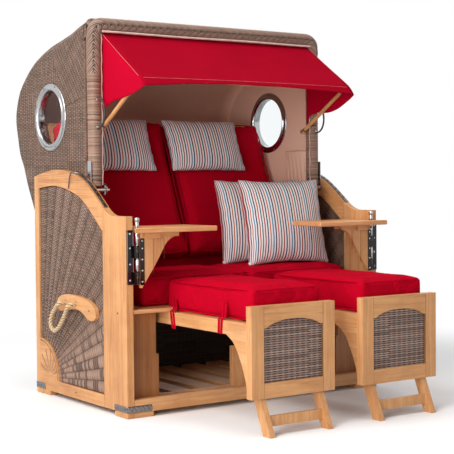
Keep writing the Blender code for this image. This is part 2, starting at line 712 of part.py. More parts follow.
def build_hood():
    line = hood_line()
    edge_y = POST_Y + BRAID_RADIUS + GAP * 2
    inner = [(max(y, edge_y), z) for y, z in inset(line, HOOD_WALL)]
    wall = prism([line + inner[::-1]], "x", -HOOD_HALF, HOOD_HALF)
    node("hood_back", to_mesh(rounded(wall, HOOD_WALL / 4, 60)), "wicker", 50)
    deep = inset(line, HOOD_WALL + GAP)
    lobe = [(POST_Y + u * HOOD_REACH, HOOD_BASE + v * HOOD_RISE) for u, v in LOBE_SHARES]
    lobe = smooth_line([deep[-1]] + lobe, 26)[1:]
    # Straight part of the side wall's front edge stands just behind the post.
    lobe = [(max(y, edge_y), z) for y, z in lobe]
    top = [(max(y, edge_y), z) for y, z in deep if y > edge_y]
    outline = [(edge_y, float(np.interp(edge_y, [p[0] for p in deep[:20]],
               [p[1] for p in deep[:20]])))] + top + lobe
    rim = [(-POST_X, POST_Y, POST_BOTTOM)]
    path = []
    corner = RIM_CORNER
    for side in (-1, 1):
        arc = circle(POST_X - corner, RIM_TOP - corner, corner, 7, 0, 90)
        leg = [(POST_X, z) for z in (POST_BOTTOM, BRAID_START - BRAID_RADIUS, BRAID_START,
               (BRAID_START + RIM_TOP - corner) / 2)]
        part = [(side * u, POST_Y, v) for u, v in leg + arc]
        path = part if side < 0 else path + [(0, POST_Y, RIM_TOP)] + part[::-1]
    radii = [BRAID_RADIUS if place[2] > BRAID_START - GAP else POST_RADIUS for place in path]
    node("hood_rim", to_mesh(tube(path, radii, 4)), "wicker", 50)
    for side, tag in ((-1, "left"), (1, "right")):
        low, high = span(side, HOOD_HALF - HOOD_SIDE_THICK, HOOD_HALF - GAP)
        holes = [circle(PORTHOLE_Y, PORTHOLE_Z, PORTHOLE_BORE + GAP, 32),
                 circle(HOOD_PIVOT_Y, HOOD_PIVOT_Z, BOLT_RADIUS + GAP, 24)]
        node("hood_side_" + tag, to_mesh(prism([outline] + holes, "x", low, high)), "wicker", 40)
        build_porthole(side, tag)
        # Bolt with a round head inside the hood, running out into the base's pivot rail.
        head = HOOD_HALF - HOOD_SIDE_THICK - GAP
        end = INNER + INNER_RAIL_THICK
        shaft = rod((side * (head - BOLT_RADIUS), HOOD_PIVOT_Y, HOOD_PIVOT_Z), (side * end, HOOD_PIVOT_Y,
                    HOOD_PIVOT_Z),
                    BOLT_RADIUS)
        cap = rod((side * (head - BOLT_RADIUS), HOOD_PIVOT_Y, HOOD_PIVOT_Z), (side * head, HOOD_PIVOT_Y,
                  HOOD_PIVOT_Z),
                  BOLT_RADIUS * 2, 24)
        node("pivot_bolt_" + tag, to_mesh(combine(cap, [shaft])), "chrome", 40)
        loop = []
        for i in range(13):
            turn = math.pi * i / 12
            loop.append((side * (POST_X + POST_RADIUS * ROUND_SHARE + GAP + LOOP_RADIUS + LOOP_OUT * math.sin(turn)),
                         POST_Y - LOOP_FORWARD * math.sin(turn), LOOP_Z + LOOP_HALF * math.cos(turn)))
        node("hood_handle_" + tag, to_mesh(tube(loop, LOOP_RADIUS, 2)), "black_loop", 60)
    build_backrest()


def build_porthole(side, tag):
    """A turned ring: flange outside, sleeve through the wall and inner flange, with a groove for the glass."""
    wall = HOOD_SIDE_THICK
    sleeve = GLASS_RADIUS + GAP
    groove = wall / 2
    profile = [(PORTHOLE_RADIUS - RING_PROUD, -RING_PROUD), (PORTHOLE_RADIUS, -GAP * 2), (PORTHOLE_BORE,
               -GAP * 2),
               (PORTHOLE_BORE, wall + GAP), (PORTHOLE_RADIUS, wall + GAP),
               (PORTHOLE_RADIUS - RING_PROUD, wall + RING_PROUD),
               (GLASS_RADIUS, wall + RING_PROUD), (GLASS_RADIUS - RING_PROUD, wall + RING_PROUD * 1.7),
               (GLASS_RADIUS - RING_PROUD * 1.6, wall + RING_PROUD),
               (GLASS_RADIUS - RING_PROUD * 1.6, groove + GLASS_THICK / 2 + GAP),
               (sleeve, groove + GLASS_THICK / 2 + GAP), (sleeve, groove - GLASS_THICK / 2 - GAP),
               (GLASS_RADIUS - RING_PROUD * 1.6, groove - GLASS_THICK / 2 - GAP),
               (GLASS_RADIUS - RING_PROUD * 1.6, -RING_PROUD), (GLASS_RADIUS - RING_PROUD, -RING_PROUD * 1.7),
               (GLASS_RADIUS, -RING_PROUD)]
    centre = (side * HOOD_HALF, PORTHOLE_Y, PORTHOLE_Z)
    node("porthole_" + tag, to_mesh(lathe(profile, centre, side)), "chrome", 35)
    x = HOOD_HALF - groove
    node("porthole_glass_" + tag, to_mesh(rod((side * (x - GLASS_THICK / 2), PORTHOLE_Y, PORTHOLE_Z),
         (side * (x + GLASS_THICK / 2), PORTHOLE_Y, PORTHOLE_Z), GLASS_RADIUS, 32)), "glass", 40)


def cushion(name, size, place, turn, slot, crown, waist, cells=(3, 3), flat=0.55, levels=1, firm=0.8,
            rests=None):
    """Soft box: subdivided cage whose faces crown by crown, whose sides draw in by waist, then Subsurf."""
    bm = bmesh.new()
    nx, ny = cells
    grid = {}
    for k in range(2):
        for i in range(nx + 1):
            for j in range(ny + 1):
                u, v = 2 * i / nx - 1, 2 * j / ny - 1
                pull_u = 1 - waist * (1 - v * v)
                pull_v = 1 - waist * (1 - u * u)
                rise = (1 - u * u) * (1 - v * v)
                z = size[2] / 2 * flat + crown * rise ** 0.6
                grid[i, j, k] = bm.verts.new((u * pull_u * size[0] / 2, v * pull_v * size[1] / 2,
                                             z if k else -z))
    for i in range(nx):
        for j in range(ny):
            bm.faces.new([grid[i, j, 1], grid[i + 1, j, 1], grid[i + 1, j + 1, 1], grid[i, j + 1, 1]])
            bm.faces.new([grid[i, j + 1, 0], grid[i + 1, j + 1, 0], grid[i + 1, j, 0], grid[i, j, 0]])
    ring = [(i, 0) for i in range(nx)] + [(nx, j) for j in range(ny)] + [(i, ny) for i in range(nx, 0, -1)]
    ring += [(0, j) for j in range(ny, 0, -1)]
    for a, b in zip(ring, ring[1:] + ring[:1]):
        bm.faces.new([grid[a[0], a[1], 0], grid[b[0], b[1], 0], grid[b[0], b[1], 1], grid[a[0], a[1], 1]])
    bm.normal_update()
    crease = bm.edges.layers.float.new("crease_edge")
    for edge in bm.edges:
        if len(edge.link_faces) == 2 and edge.calc_face_angle() > math.radians(40):
            edge[crease] = firm
    bmesh.ops.recalc_face_normals(bm, faces=bm.faces)
    obj = node(name, to_mesh(bm), slot)
    soft = obj.modifiers.new("soft", "SUBSURF")
    soft.levels = levels
    soft.render_levels = levels
    obj.data.transform(Matrix.Translation(place) @ turn)
    if rests:
        # Moved along the given direction until its lowest point lies GAP above the plane it rests on.
        point, up = (Vector(part) for part in rests)
        deps = bpy.context.evaluated_depsgraph_get()
        lowest = min((vert.co - point).dot(up) for vert in obj.evaluated_get(deps).to_mesh().vertices)
        obj.data.transform(Matrix.Translation(up * (GAP - lowest)))
    obj.data.shade_smooth()
    return obj


def on_back(x, up, out):
    """World place of a point up the backrest board and out from its front face."""
    return (x, BOARD_FOOT_Y + up * math.sin(LEAN) - out * math.cos(LEAN),
            BOARD_FOOT_Z + up * math.cos(LEAN) + out * math.sin(LEAN))


def on_back_normal():
    return (0, -math.cos(LEAN), math.sin(LEAN))


def build_backrest():
    turn = Matrix.Rotation(-LEAN, 4, "X") @ Matrix.Rotation(math.radians(90), 4, "X")
    wide = HOOD_HALF - HOOD_SIDE_THICK - GAP
    tall = BOARD_LENGTH / 2
    outline = [(wide, -tall), (wide, BOARD_STEP - tall), (BACK_HALF, BOARD_STEP - tall), (BACK_HALF, tall)]
    outline += [(-u, v) for u, v in outline[::-1]]
    board = prism([outline], "z", -BOARD_THICK / 2, BOARD_THICK / 2)
    bmesh.ops.transform(board, matrix=Matrix.Translation(on_back(0, BOARD_LENGTH / 2,
                        -BOARD_THICK / 2)) @ turn,
                        verts=board.verts)
    node("backrest_board", to_mesh(rounded(board)), "teak", 40)
    half = BACK_HALF / 2
    for side, tag in ((-1, "left"), (1, "right")):
        place = on_back(side * half, BACK_BOTTOM + BACK_LENGTH / 2, BACK_THICK / 2 + GAP)
        cushion("back_cushion_" + tag, (BACK_HALF - GAP * 8, BACK_LENGTH, BACK_THICK), place, turn,
                "red_fabric",
                0, 0.004, (3, 4), 1)
    for x, tag in ((-NECK_LEFT_X, "left"), (NECK_RIGHT_X, "right")):
        place = on_back(x, NECK_UP, BACK_THICK + NECK_THICK / 2 + GAP * 2)
        cushion("neck_pillow_" + tag, (NECK_WIDTH, NECK_HEIGHT, NECK_THICK), place, turn, "striped_fabric",
                NECK_THICK * 0.62, 0.05, (2, 2), 0.22, 2, 1,
                (on_back(0, 0, BACK_THICK + GAP), on_back_normal()))


def build_seat():
    for side, tag in ((-1, "left"), (1, "right")):
        width = SEAT_HALF
        middle = (CUSHION_FRONT + SEAT_REAR) / 2
        cushion("seat_cushion_" + tag, (width - GAP * 8, SEAT_REAR - CUSHION_FRONT, SEAT_HEIGHT),
                (side * width / 2, middle,
                 DECK_TOP + GAP + SEAT_HEIGHT / 2), Matrix.Identity(4), "red_fabric",
                0, 0.004, (3, 3), 1)
    for tag, x, y, lean, twist in (("front", PILLOW_X, PILLOW_Y, PILLOW_LEAN, 4), ("back", PILLOW_BACK_X,
                                   PILLOW_BACK_Y,
                                                                           PILLOW_LEAN, -6)):
        turn = Matrix.Rotation(math.radians(twist), 4, "Z") @ Matrix.Rotation(math.radians(90 - lean), 4, "X")
        up = PILLOW / 2 * math.cos(math.radians(lean))
        cushion("loose_pillow_" + tag, (PILLOW, PILLOW, PILLOW_THICK),
                (x, y, DECK_TOP + SEAT_HEIGHT + up), turn, "striped_fabric",
                PILLOW_THICK * 0.66, 0.06, (2, 2), 0.14, 2, 1,
                ((0, 0, DECK_TOP + SEAT_HEIGHT + GAP), (0, 0, 1)))


def build_awning():
    """Two struts and the front bar as one body, and the cloth with its gussets as a thin shell."""
    bar = STRUT_RADIUS * 0.9
    path = []
    for side in (-1, 1):
        leg = [(side * AWNING_X, AWNING_PIVOT_Y, AWNING_PIVOT_Z),
               (side * AWNING_X, AWNING_FRONT_Y + AWNING_ROUND, AWNING_FRONT_Z - AWNING_ROUND * 0.6),
               (side * (AWNING_X - AWNING_ROUND * 0.4), AWNING_FRONT_Y + AWNING_ROUND * 0.2,
                AWNING_FRONT_Z - AWNING_ROUND * 0.1),
               (side * (AWNING_X - AWNING_ROUND * 1.4), AWNING_FRONT_Y, AWNING_FRONT_Z)]
        path = leg if side < 0 else path + [(0, AWNING_FRONT_Y, AWNING_FRONT_Z)] + leg[::-1]
    frame = tube(path, [STRUT_RADIUS] * 3 + [bar] * 3 + [STRUT_RADIUS] * 3, 2)
    eyes = [rod((side * (AWNING_X - STRUT_RADIUS), AWNING_PIVOT_Y, AWNING_PIVOT_Z),
                (side * (AWNING_X + STRUT_RADIUS), AWNING_PIVOT_Y,
                 AWNING_PIVOT_Z), STRUT_RADIUS * 1.5) for side in (-1, 1)]
    obj = node("awning_frame", to_mesh(combine(frame, eyes)), "teak", 50)
    build_canopy()
    return obj


def build_canopy():
    """Cloth lofted in rows: each row's front edge lies on a line from the pivot to the hood's top corner."""
    rows = []
    steps = 8
    across = 8
    front = (AWNING_FRONT_Y - STRUT_RADIUS - CLOTH_THICK * 2, AWNING_FRONT_Z + STRUT_RADIUS + CLOTH_THICK)
    for i in range(steps + 1):
        t = i / steps
        y = CANOPY_TOP_Y + (front[0] - CANOPY_TOP_Y) * t
        z = CANOPY_TOP_Z + (front[1] - CANOPY_TOP_Z) * t - CANOPY_HEM * 0.25 * math.sin(math.pi * t)
        half = CANOPY_HALF + CLOTH_THICK * t
        rows.append([(half * (2 * j / across - 1), y, z) for j in range(across + 1)])
    drops = 4
    rows += [[(x, y, z - CANOPY_HEM * k / drops) for x, y, z in rows[steps]] for k in range(1, drops + 1)]
    # Gussets go down from each side edge to the pivot, drawn up at the front.
    bm = bmesh.new()
    grid = [[bm.verts.new(place) for place in row] for row in rows]
    for a, b in zip(grid, grid[1:]):
        for j in range(across):
            bm.faces.new([a[j], b[j], b[j + 1], a[j + 1]])
    for side, column in ((-1, 0), (1, across)):
        sheets = [[row[column] for row in grid[:steps + 1]]]
        for k in range(1, drops + 1):
            share = k / drops
            line = []
            for i in range(steps + 1):
                t = i / steps
                x, y, z = rows[i][column]
                low_z = GUSSET_LOW + (front[1] - CANOPY_HEM - GUSSET_LOW) * t ** 0.75
                low_y = CANOPY_TOP_Y + (front[0] - CANOPY_TOP_Y) * t
                line.append(bm.verts.new((x, y + (low_y - y) * share, z + (low_z - z) * share)))
            sheets.append(line)
        for a, b in zip(sheets, sheets[1:]):
            for i in range(steps):
                quad = [a[i], a[i + 1], b[i + 1], b[i]]
                bm.faces.new(quad)
        bm.verts.ensure_lookup_table()
    bmesh.ops.remove_doubles(bm, verts=bm.verts, dist=GAP)
    bmesh.ops.recalc_face_normals(bm, faces=bm.faces)
    obj = node("canopy", to_mesh(bm), "red_fabric")
    shell = obj.modifiers.new("shell", "SOLIDIFY")
    shell.thickness = CLOTH_THICK
    shell.offset = 0
    obj.data.shade_smooth()
    return obj


def build_footrest(side, tag):
    """Panel, its woven infill, the tray behind it, the folding stand and the cushion."""
    middle = side * PANEL_OFFSET
    half = PANEL_WIDTH / 2
    low, high = middle - half, middle + half
    inner = half - PANEL_STILE
    shoulder = PANEL_OPEN_SIDE
    arc = [(middle + inner * SHOULDER_SHARE * u,
           shoulder + (PANEL_OPEN_PEAK - shoulder) * (1 - u * u) ** 0.75)
           for u in np.linspace(1, -1, 13)]
    opening = [(middle - inner, PANEL_OPEN_LOW), (middle + inner, PANEL_OPEN_LOW), (middle + inner,
               shoulder)] + arc
    opening += [(middle - inner, shoulder)]
    panel = prism([[(low, PANEL_LOW), (high, PANEL_LOW), (high, PANEL_TOP), (low, PANEL_TOP)], opening], "y",
                  PANEL_Y, PANEL_Y + PANEL_THICK)
    panel = node("footrest_panel_" + tag, to_mesh(rounded(panel, EDGE_ROUND / 2)), "teak", 40)
    shrink = [(middle + (u - middle) * (1 - GAP / inner),
              PANEL_OPEN_LOW + GAP + (v - PANEL_OPEN_LOW) * (1 - GAP * 12))
              for u, v in opening]
    wicker = node("footrest_wicker_" + tag, to_mesh(prism([shrink], "y", PANEL_Y + PANEL_THICK * 0.3,
                                                         PANEL_Y + PANEL_THICK - GAP)), "dark_wicker", 40)
    back = PANEL_Y + PANEL_THICK + GAP
    front_y = back
    deep = TRAY_TOP - TRAY_THICK
    tray = box((middle - TRAY_HALF, front_y, deep), (middle + TRAY_HALF, TRAY_REAR, TRAY_TOP))
    pieces = []
    curve = [(TRAY_HEEL_Y + u * (front_y - TRAY_HEEL_Y),
             TRAY_SIDE_LOW + v * (PANEL_LOW + EDGE_ROUND - TRAY_SIDE_LOW))
             for u, v in smooth_line(WING_SHARES, 10)]
    wing = [(front_y, TRAY_TOP - GAP), (front_y, PANEL_LOW + EDGE_ROUND)] + curve[::-1]
    wing += [(TRAY_REAR, TRAY_SIDE_LOW), (TRAY_REAR, TRAY_TOP - GAP)]
    for hand in (-1, 1):
        edge = middle + hand * TRAY_HALF
        near, far = sorted((edge - hand * TRAY_BOARD, edge))
        pieces.append(prism([wing], "x", near, far))
    tray = node("footrest_tray_" + tag, to_mesh(combine(tray, pieces)), "teak", 40)
    stand = build_stand(middle, tag)
    depth = TRAY_CUSHION_REAR - (PANEL_Y + PANEL_THICK)
    top = node_cushion(middle, tag, depth)
    return panel, wicker, tray, stand, top


def node_cushion(middle, tag, depth):
    low = TRAY_TOP + GAP
    height = FOOT_CUSHION_TOP - low
    return cushion("footrest_cushion_" + tag, (FOOT_CUSHION_HALF * 2, depth - GAP * 6, height),
                   (middle, PANEL_Y + PANEL_THICK + GAP * 3 + depth / 2,
                    low + height / 2), Matrix.Identity(4),
                   "red_fabric", 0, 0.004, (2, 3), 1)


def build_stand(middle, tag):
    """Two splayed legs with slanted feet, a rung between them and a pin at the top."""
    run = STAND_FOOT_Y - STAND_PIVOT_Y
    lean = run / STAND_PIVOT_Z
    half = STAND_DEPTH / 2
    top = STAND_PIVOT_Z + half
    # The leg's front edge steps back under the panel's lower edge, which stops the leg at rest.
    notch = PANEL_LOW - GAP * 2
    back = PANEL_Y + PANEL_THICK + GAP * 2
    leg = [(STAND_FOOT_Y - half, 0), (STAND_FOOT_Y + half, 0), (STAND_PIVOT_Y + half, STAND_PIVOT_Z)]
    leg += circle(STAND_PIVOT_Y, STAND_PIVOT_Z, half, 7, 0, 180)[1:-1] + [(STAND_PIVOT_Y - half,
            STAND_PIVOT_Z)]
    leg += [(back, notch), (STAND_FOOT_Y - half - lean * notch, notch)]
    pieces = []
    for hand in (-1, 1):
        outer = middle + hand * STAND_HALF
        near, far = sorted((outer - hand * STAND_THICK, outer))
        pieces.append(prism([leg], "x", near, far))
    inner = STAND_HALF - STAND_THICK + GAP * 4
    rung_middle = STAND_FOOT_Y - lean * RUNG_Z
    rung = box((middle - inner, rung_middle - RUNG_THICK / 2, RUNG_Z - RUNG_HEIGHT / 2),
               (middle + inner, rung_middle + RUNG_THICK / 2, RUNG_Z + RUNG_HEIGHT / 2))
    pin = rod((middle - STAND_HALF - PIN_OUT, STAND_PIVOT_Y, STAND_PIVOT_Z),
              (middle + STAND_HALF + PIN_OUT, STAND_PIVOT_Y, STAND_PIVOT_Z), PIN_RADIUS, 12)
    return node("footrest_stand_" + tag, to_mesh(combine(rung, pieces + [pin])), "teak", 40)


def build_table(side, tag):
    """Slab with its cleat, the bracket board under it and the moving hinge leaf."""
    swing = TABLE_AXIS_Y
    edge = math.degrees(math.atan2(TABLE_NEAR - TABLE_AXIS_Y, TABLE_OUTER - TABLE_AXIS_X))
    scoop = circle(TABLE_AXIS_X, TABLE_AXIS_Y, TABLE_CLEAR, 12, edge, edge - 190)
    slab = [(TABLE_INNER, TABLE_NEAR), (TABLE_OUTER, TABLE_NEAR)] + scoop
    slab += [(TABLE_PASS, TABLE_AXIS_Y + TABLE_CLEAR), (TABLE_PASS, TABLE_FAR), (TABLE_INNER + TABLE_EDGE,
             TABLE_FAR)]
    slab = [(side * u, v) for u, v in slab]
    top = rounded(prism([slab], "z", TABLE_TOP - TABLE_THICK, TABLE_TOP), EDGE_ROUND, 60)
    low, high = span(side, TABLE_AXIS_X - BRACKET_WIDTH, TABLE_AXIS_X - TABLE_EDGE)
    cleat = box((low, TABLE_AXIS_Y + BRACKET_THICK, TABLE_TOP - TABLE_THICK - CLEAT),
                (high, TABLE_AXIS_Y + BRACKET_THICK * 2.4, TABLE_TOP - TABLE_THICK + GAP))
    node("table_top_" + tag, to_mesh(combine(top, [cleat])), "teak", 40)
    under = TABLE_TOP - TABLE_THICK - GAP
    near = TABLE_AXIS_X - LEAF_OUT
    drop = under - BRACKET_LOW
    wedge = smooth_line([(near - BRACKET_WIDTH, under - drop * 0.10), (near - BRACKET_WIDTH * 0.70,
                        under - drop * 0.30),
                         (near - BRACKET_WIDTH * 0.45, under - drop * 0.62), (near - BRACKET_WIDTH * 0.16,
                                 BRACKET_LOW)], 12)
    outline = [(near, under), (near - BRACKET_WIDTH, under)] + wedge + [(near, BRACKET_LOW)]
    outline = [(side * u, v) for u, v in outline]
    board = prism([outline], "y", TABLE_AXIS_Y - BRACKET_THICK / 2, TABLE_AXIS_Y + BRACKET_THICK / 2)
    leaf = [box((min(side * (near - GAP), side * TABLE_AXIS_X), TABLE_AXIS_Y - LEAF_THICK / 2, z),
                (max(side * (near - GAP), side * TABLE_AXIS_X), TABLE_AXIS_Y + LEAF_THICK / 2, z + KNUCKLE))
            for z in moving_knuckles()]
    rolls = [rod((side * TABLE_AXIS_X, TABLE_AXIS_Y, z), (side * TABLE_AXIS_X, TABLE_AXIS_Y, z + KNUCKLE),
             ROLL_RADIUS, 14)
             for z in moving_knuckles()]
    body = combine(board, leaf + rolls)
    bores = [rod((side * TABLE_AXIS_X, TABLE_AXIS_Y, HINGE_LOW - CLEAT), (side * TABLE_AXIS_X, TABLE_AXIS_Y,
             HINGE_TOP + CLEAT),
                 PIN_RADIUS + GAP, 14)]
    node("table_bracket_" + tag, to_mesh(combine(body, bores, "DIFFERENCE")), "teak", 40)
    # Fixed leaf on the base: plate on the front post's face, knuckles between the moving ones, and the pin.
    pin = rod((side * TABLE_AXIS_X, TABLE_AXIS_Y, HINGE_LOW), (side * TABLE_AXIS_X, TABLE_AXIS_Y,
              HINGE_TOP), PIN_RADIUS, 14)
    parts = []
    plate_low, plate_high = span(side, INNER + EDGE_ROUND, INNER + LEAF_PLATE)
    parts.append(box((plate_low, FRONT - LEAF_THICK - GAP, HINGE_LOW), (plate_high, FRONT - GAP, HINGE_TOP)))
    for z in fixed_knuckles():
        reach_low, reach_high = span(side, TABLE_AXIS_X, INNER + EDGE_ROUND * 2)
        parts.append(box((reach_low, TABLE_AXIS_Y - LEAF_THICK / 2, z), (reach_high, FRONT - GAP,
                     z + KNUCKLE)))
        parts.append(rod((side * TABLE_AXIS_X, TABLE_AXIS_Y, z), (side * TABLE_AXIS_X, TABLE_AXIS_Y,
                     z + KNUCKLE),
                         ROLL_RADIUS, 14))
    node("table_hinge_" + tag, to_mesh(combine(pin, parts)), "chrome", 40)


def moving_knuckles():
    return [HINGE_LOW + KNUCKLE_PITCH * k for k in (1, 3)]


def fixed_knuckles():
    return [HINGE_LOW + KNUCKLE_PITCH * k for k in (0, 2, 4)] + [HINGE_TOP - KNUCKLE]


def lock_reach():
    return math.hypot(LOCK_Y - HOOD_PIVOT_Y, LOCK_Z - HOOD_PIVOT_Z)


def lock_place(degrees, further=0):
    """Where the bolt stands in the side view when the hood is tilted back by some degrees."""
    turn = math.radians(degrees)
    share = 1 + further / lock_reach()
    out, up = (LOCK_Y - HOOD_PIVOT_Y) * share, (LOCK_Z - HOOD_PIVOT_Z) * share
    return (HOOD_PIVOT_Y + out * math.cos(turn) + up * math.sin(turn),
            HOOD_PIVOT_Z + up * math.cos(turn) - out * math.sin(turn))


def build_lock(side, tag):
    """Pull bolt with its cross pin and ring, and the sleeve and strap that hold it on the hood post."""
    shaft = rod((side * LOCK_INNER, LOCK_Y, LOCK_Z), (side * (INNER + LOCK_DEPTH), LOCK_Y, LOCK_Z),
                LOCK_RADIUS, 12)
    ring_x = side * (SLEEVE_INNER - WIRE * 2.5)
    tall = RING_HALF * 1.35
    ring = [(ring_x, LOCK_Y + RING_HALF * u, LOCK_Z + tall * v) for u, v in circle(0, 0, 1, 20)]
    hoop = tube(ring, WIRE, 1, True)
    pin = rod((ring_x, LOCK_Y, LOCK_Z - tall), (ring_x, LOCK_Y, LOCK_Z + tall), WIRE * 0.8, 8)
    node("hood_lock_" + tag, to_mesh(combine(shaft, [pin, hoop])), "chrome", 40)
    face = HOOD_HALF + GAP
    low, high = span(side, face, face + STRAP_THICK)
    strap = box((low, LOCK_Y - STRAP_HALF, LOCK_Z - STRAP_HALF), (high, LOCK_Y + STRAP_HALF, STRAP_TOP))
    sleeve = rod((side * SLEEVE_INNER, LOCK_Y, LOCK_Z), (side * (face + STRAP_THICK / 2), LOCK_Y, LOCK_Z),
                 SLEEVE)
    holder = combine(strap, [sleeve])
    bore = rod((side * LOCK_INNER, LOCK_Y, LOCK_Z), (side * HALF, LOCK_Y, LOCK_Z), LOCK_RADIUS + GAP, 12)
    node("lock_holder_" + tag, to_mesh(combine(holder, [bore], "DIFFERENCE")), "chrome", 40)


def shift_to_base():
    """Moves everything so that the frame's origin is the bottom centre of the chair's box."""
    deps = bpy.context.evaluated_depsgraph_get()
    low, high = np.full(3, np.inf), np.full(3, -np.inf)
    for obj in CHAIR.objects:
        if obj.type != "MESH":
            continue
        made = obj.evaluated_get(deps).to_mesh()
        places = np.empty(len(made.vertices) * 3, dtype=np.float32)
        made.vertices.foreach_get("co", places)
        places = places.reshape(-1, 3)
        low, high = np.minimum(low, places.min(0)), np.maximum(high, places.max(0))
    middle = (low + high) / 2
    ROOT.location = (-float(middle[0]), -float(middle[1]), -float(low[2]))
    return low, high


def set_origin(names, place):
    """Puts the pieces' origins on their joint's axis, with the shapes left where they are."""
    for name in names:
        obj = bpy.data.objects[name]
        obj.data.transform(Matrix.Translation(place).inverted())
        obj.location = place


def place_origins():
    hood = ["hood_back", "hood_rim", "backrest_board", "canopy"]
    hood += [stem + "_" + tag for tag in ("left", "right") for stem in
             ("hood_side", "porthole", "porthole_glass", "pivot_bolt", "hood_handle", "lock_holder",
              "back_cushion",
              "neck_pillow")]
    set_origin(hood, (0, HOOD_PIVOT_Y, HOOD_PIVOT_Z))
    set_origin(["awning_frame"], (0, AWNING_PIVOT_Y, AWNING_PIVOT_Z))
    for side, tag in ((-1, "left"), (1, "right")):
        set_origin(["footrest_%s_%s" % (stem, tag) for stem in ("panel", "wicker", "tray", "cushion")],
                   (side * PANEL_OFFSET, TRAY_REAR, TRAY_TOP))
        set_origin(["footrest_stand_" + tag], (side * PANEL_OFFSET, STAND_PIVOT_Y, STAND_PIVOT_Z))
        set_origin(["table_top_" + tag, "table_bracket_" + tag],
                   (side * TABLE_AXIS_X, TABLE_AXIS_Y, (HINGE_LOW + HINGE_TOP) / 2))
        set_origin(["hood_lock_" + tag], (side * LOCK_INNER, LOCK_Y, LOCK_Z))


def main():
    link_collections()
    for side, tag in ((-1, "left"), (1, "right")):
        build_base(side, tag)
        build_ratchet(side, tag)
        build_footrest(side, tag)
        build_table(side, tag)
        build_lock(side, tag)
    build_inside()
    build_hood()
    build_seat()
    build_awning()
    ends = shift_to_base()
    place_origins()
    return ends


BOX = main()
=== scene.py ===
import math

import bmesh
import bpy
import numpy as np
from mathutils import Matrix, Vector


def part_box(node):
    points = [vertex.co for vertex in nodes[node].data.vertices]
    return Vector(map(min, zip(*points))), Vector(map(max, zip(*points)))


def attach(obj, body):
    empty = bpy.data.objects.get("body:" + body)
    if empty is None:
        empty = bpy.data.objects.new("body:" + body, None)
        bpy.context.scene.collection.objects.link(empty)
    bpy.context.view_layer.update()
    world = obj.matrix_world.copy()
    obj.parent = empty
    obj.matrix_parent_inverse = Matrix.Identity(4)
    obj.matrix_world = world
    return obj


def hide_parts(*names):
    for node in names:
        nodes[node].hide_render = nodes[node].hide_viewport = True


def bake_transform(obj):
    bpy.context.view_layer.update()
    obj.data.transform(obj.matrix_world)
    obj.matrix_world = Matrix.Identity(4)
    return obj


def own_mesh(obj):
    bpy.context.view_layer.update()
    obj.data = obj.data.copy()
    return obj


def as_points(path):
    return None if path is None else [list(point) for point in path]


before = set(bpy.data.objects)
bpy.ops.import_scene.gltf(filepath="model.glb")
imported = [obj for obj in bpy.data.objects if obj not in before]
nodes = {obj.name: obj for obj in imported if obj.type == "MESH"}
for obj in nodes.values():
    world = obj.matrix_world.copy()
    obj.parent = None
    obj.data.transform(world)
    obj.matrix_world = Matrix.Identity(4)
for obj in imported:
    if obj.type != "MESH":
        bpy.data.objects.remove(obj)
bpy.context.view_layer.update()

# Lengths below have y = 0 in the middle of the base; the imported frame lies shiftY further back.
base = {"half": 0.640, "inner": 0.608, "front": -0.3965, "rear": 0.3965, "postBack": -0.2115,
        "stileFront": 0.3585, "sill": 0.070, "fan": 0.172, "deck": 0.421, "gap": 0.0004}
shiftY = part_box("front_rail")[0][1] - base["front"]
sides = ((-1, "left"), (1, "right"))


# Camera, fitted to the photograph.
camera = {"place": (-2.9758, -4.4624, 0.919), "yaw": 34.6481, "pitch": -2.1701, "roll": -0.4552, "lens": 96.47}


def placeCamera(v):
    yaw, pitch, roll = (math.radians(v[k]) for k in ("yaw", "pitch", "roll"))
    ahead = np.array((math.sin(yaw) * math.cos(pitch), math.cos(yaw) * math.cos(pitch), math.sin(pitch)))
    right = np.array((math.cos(yaw), -math.sin(yaw), 0.0))
    up = np.cross(right, ahead)
    across = right * math.cos(roll) + up * math.sin(roll)
    upright = -right * math.sin(roll) + up * math.cos(roll)
    x, y, z = v["place"]
    turn = np.eye(4)
    turn[:3, 0], turn[:3, 1], turn[:3, 2], turn[:3, 3] = across, upright, -ahead, (x, y + shiftY, z)
    data = bpy.data.cameras.new("camera")
    data.lens, data.sensor_width = v["lens"], 36.0
    obj = bpy.data.objects.new("camera", data)
    obj.matrix_world = Matrix(turn.tolist())
    bpy.context.scene.collection.objects.link(obj)
    bpy.context.scene.camera = obj


placeCamera(camera)


# Mesh helpers.
def smoothLine(points, count, closed=False):
    # Catmull-Rom curve through the points, cut again at even steps of its own length.
    given = np.asarray(points, float)
    if closed:
        given = np.vstack([given[-1:], given, given[:2]])
    else:
        given = np.vstack([2 * given[:1] - given[1:2], given, 2 * given[-1:] - given[-2:-1]])
    a, b, c, d = given[:-3, None], given[1:-2, None], given[2:-1, None], given[3:, None]
    t = (np.arange(12) / 12)[None, :, None]
    dense = (2 * b + (c - a) * t + (2 * a - 5 * b + 4 * c - d) * t ** 2 + (3 * b - a - 3 * c + d) * t ** 3) / 2
    dense = np.vstack([dense.reshape(-1, given.shape[1]), given[-2:-1]])
    run = np.concatenate([[0], np.cumsum(np.linalg.norm(np.diff(dense, axis=0), axis=1))])
    stops = np.linspace(0, run[-1], count + 1 if closed else count)
    stops = stops[:-1] if closed else stops
    return np.stack([np.interp(stops, run, dense[:, k]) for k in range(given.shape[1])], axis=1)


def gridFaces(rows, cols, closeRows=False, closeCols=False):
    i = np.arange(rows if closeRows else rows - 1)[:, None]
    j = np.arange(cols if closeCols else cols - 1)[None, :]
    i2, j2 = (i + 1) % rows, (j + 1) % cols
    quads = np.stack([i * cols + j, i * cols + j2, i2 * cols + j2, i2 * cols + j], axis=-1)
    return quads.reshape(-1, 4)


